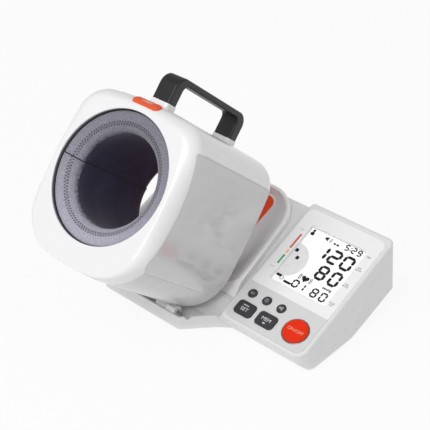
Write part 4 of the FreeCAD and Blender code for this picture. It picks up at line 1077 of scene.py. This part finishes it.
class MONITOR_OT_legends(bpy.types.Operator):
    """Print the legends of the keys and buttons"""

    bl_idname = "monitor.legends"
    bl_label = "Key legends"

    def execute(self, context):
        pale = printed_ink("legend_ink", (0.72, 0.72, 0.73))
        dim = printed_ink("small_key_ink", (0.30, 0.30, 0.31))
        warm = printed_ink("power_legend_ink", (0.80, 0.36, 0.26))
        words = (
            ("power", "ON/OFF", 5.5, (180.9, 21.3), 2.02, warm, "orange_plastic", "power_button"),
            ("set", "SET", 6.3, (116.1, 14.9), 1.62, pale, "key_grey", "set_key"),
            ("memory", "MEM", 6.0, (145.2, 16.6), 1.62, pale, "key_grey", "memory_key"),
            ("open", "OPEN", 5.2, (0.0, 0.0), 2.62, pale, "orange_plastic", "open_button", OPEN),
        )
        for name, *legend in words:
            make_words("legend_" + name, *legend)
        large, small = (1.58, 1.66), (1.38, 1.46)
        lines = [bar_outline(108.2, 113.8, 36.4, 37.2), bar_outline(108.9, 113.1, 34.8, 35.6)]
        clock = ring_outlines(130.8, 36.2, 2.4, 1.7, 0.0, FULL_TURN, 24)
        clock.append(bar_outline(130.4, 131.2, 35.8, 38.0))
        arrow = [(143.0, 12.4), (147.4, 12.4), (145.2, 10.6)]
        horn = [bar_outline(147.8, 150.2, 34.8, 37.6)]
        horn.append([(150.2, 34.8), (152.8, 33.4), (152.8, 39.0), (150.2, 37.6)])
        signs = (
            ("set", "set_key", large, pale, [bar_outline(111.6, 119.0, 19.6, 20.5, 0.3)]),
            ("memory", "memory_key", large, pale, [arrow]),
            ("left", "small_key_left", small, dim, lines),
            ("middle", "small_key_middle", small, dim, clock),
            ("right", "small_key_right", small, dim, horn),
        )
        for name, body, levels, ink, outlines in signs:
            make_prisms("sign_" + name, outlines, levels, ink, body)
        return {"FINISHED"}


class MONITOR_OT_underside(bpy.types.Operator):
    """Add the battery door's grip ribs and the bare plate under the base"""

    bl_idname = "monitor.underside"
    bl_label = "Underside"

    def execute(self, context):
        pitch, rib = 2.6, 1.2
        pale = frame["nodes"]["battery_door"].data.materials[0]
        starts = [19.0 + pitch * step for step in range(5)]
        ribs = [bar_outline(126.0, 153.0, start, start + rib, 0.55) for start in starts]
        make_prisms("door_grip", ribs, (-0.7, 0.1), pale, "battery_door", DOOR)
        ink = printed_ink("bare_plate", (0.58, 0.58, 0.59), 0.38)
        place = Matrix.Translation(from_hinge(-46.3, -17.0))
        plate = bar_outline(12.0, 70.0, 118.0, 150.0, 2.0)
        make_prisms("underside_plate", [plate], (1.9, 2.02), ink, place=place)
        return {"FINISHED"}


def aim(name, data, place, ahead):
    """Puts a light or a camera in its place, looking ahead."""
    holder = add_object(name, data)
    holder.location = place
    holder.rotation_euler = ahead.to_track_quat("-Z", "Y").to_euler()
    return holder


def make_floor():
    """A pale floor that keeps the object's shadow and looks white to the camera."""
    reach, whiteness = 12.0, 0.9
    mesh = bpy.data.meshes.new("studio_floor")
    corners = [(-reach, -reach, 0), (reach, -reach, 0), (reach, reach, 0), (-reach, reach, 0)]
    mesh.from_pydata(corners, [], [(0, 1, 2, 3)])
    floor = add_object("studio_floor", mesh)
    finish = Finish("studio_paper")
    fibres = finish.speckle(300.0, 3.0, 0.6)
    tone = finish.blend(fibres, grey(0.80), grey(0.82))
    finish.set(Base_Color=tone, Roughness=0.9, Specular_IOR_Level=0.1)
    mirrored = finish.is_ray("Glossy") + finish.is_ray("Transmission")
    seen = (finish.is_ray("Camera") + mirrored).clamped()
    glow = finish.node("Emission", {"Color": grey(1.0), "Strength": 1.0})
    paper = Field(finish, finish.shader.outputs["BSDF"])
    mixed = finish.mix_shaders(seen * whiteness, paper, glow)
    finish.feed(finish.tree.nodes["Material Output"].inputs["Surface"], mixed)
    mesh.materials.append(finish.material)


def make_world(scene, strength):
    """Soft light, a little weaker from the left, white behind the object."""
    scene.world = bpy.data.worlds.new("studio_world")
    sky = NodeTree(scene.world)
    dim, bright, white = [
        sky.node("Background", {"Color": grey(1.0), "Strength": level})
        for level in (strength * 0.68, strength * 1.14, 1.0)
    ]
    heading = sky.node("TexCoord", output="Generated")
    rightward = sky.node("SeparateXYZ", {0: heading}, "X")
    share = sky.node("MapRange", {"Value": rightward, "From Min": -1.0})
    even = sky.mix_shaders(share, dim, bright)
    shown = sky.mix_shaders(sky.is_ray("Camera"), even, white)
    sky.feed(sky.tree.nodes["World Output"].inputs["Surface"], shown)


class MONITOR_OT_studio(bpy.types.Operator):
    """Set up the floor, the light and the camera"""

    bl_idname = "monitor.studio"
    bl_label = "Studio"

    def execute(self, context):
        look = context.scene.monitor_studio
        scene = context.scene
        scene.view_settings.view_transform = "Standard"
        make_floor()
        make_world(scene, look.sky)
        target = Vector((0.0, 0.0, 0.10))
        for name, place, size, power in (
            ("key_light", Vector((-0.05, -1.80, 2.15)), 1.8, look.key_power),
            ("fill_light", Vector((1.7, -0.9, 1.3)), 1.4, look.fill_power),
        ):
            light = bpy.data.lights.new(name, "AREA")
            light.shape = "SQUARE"
            light.size = size
            light.energy = power
            aim(name, light, place, target - place)
        camera = bpy.data.cameras.new("photo_camera")
        camera.sensor_width = SENSOR_WIDTH
        camera.lens = SENSOR_WIDTH * FOCAL_PIXELS / PHOTO_PIXELS
        camera.clip_end = 50.0
        scene.camera = aim("photo_camera", camera, HINGE + CAMERA_OFFSET, CAMERA_AHEAD)
        return {"FINISHED"}


OPERATORS = (
    MONITOR_OT_shells, MONITOR_OT_insides, MONITOR_OT_lining, MONITOR_OT_stitching,
    MONITOR_OT_cushion, MONITOR_OT_key_mat, MONITOR_OT_reading, MONITOR_OT_panel_print,
    MONITOR_OT_legends, MONITOR_OT_underside, MONITOR_OT_studio,
)
LOOKS = {
    "monitor_cuff": CuffLook, "monitor_shells": ShellLook,
    "monitor_display": DisplayLook, "monitor_studio": StudioLook,
}


class MONITOR_PT_looks(bpy.types.Panel):
    """Lists the monitor's looks and the operators that build them"""

    bl_label = "Blood pressure monitor"
    bl_space_type = "VIEW_3D"
    bl_region_type = "UI"
    bl_category = "Monitor"

    def draw(self, context):
        for name, group in LOOKS.items():
            box = self.layout.box()
            for field in group.__annotations__:
                box.prop(getattr(context.scene, name), field)
        for operator in OPERATORS:
            self.layout.operator(operator.bl_idname)


CLASSES = (*LOOKS.values(), *OPERATORS, MONITOR_PT_looks)


def register():
    for item in CLASSES:
        bpy.utils.register_class(item)
    for name, group in LOOKS.items():
        setattr(bpy.types.Scene, name, bpy.props.PointerProperty(type=group))


def unregister():
    for name in LOOKS:
        delattr(bpy.types.Scene, name)
    for item in reversed(CLASSES):
        bpy.utils.unregister_class(item)


def main():
    register()
    bpy.ops.monitor.shells()
    bpy.ops.monitor.insides()
    bpy.ops.monitor.lining()
    bpy.ops.monitor.stitching()
    bpy.ops.monitor.cushion()
    bpy.ops.monitor.key_mat()
    bpy.ops.monitor.reading()
    bpy.ops.monitor.panel_print()
    bpy.ops.monitor.legends()
    bpy.ops.monitor.underside()
    bpy.ops.monitor.studio()


if __name__ == "__main__":
    main()
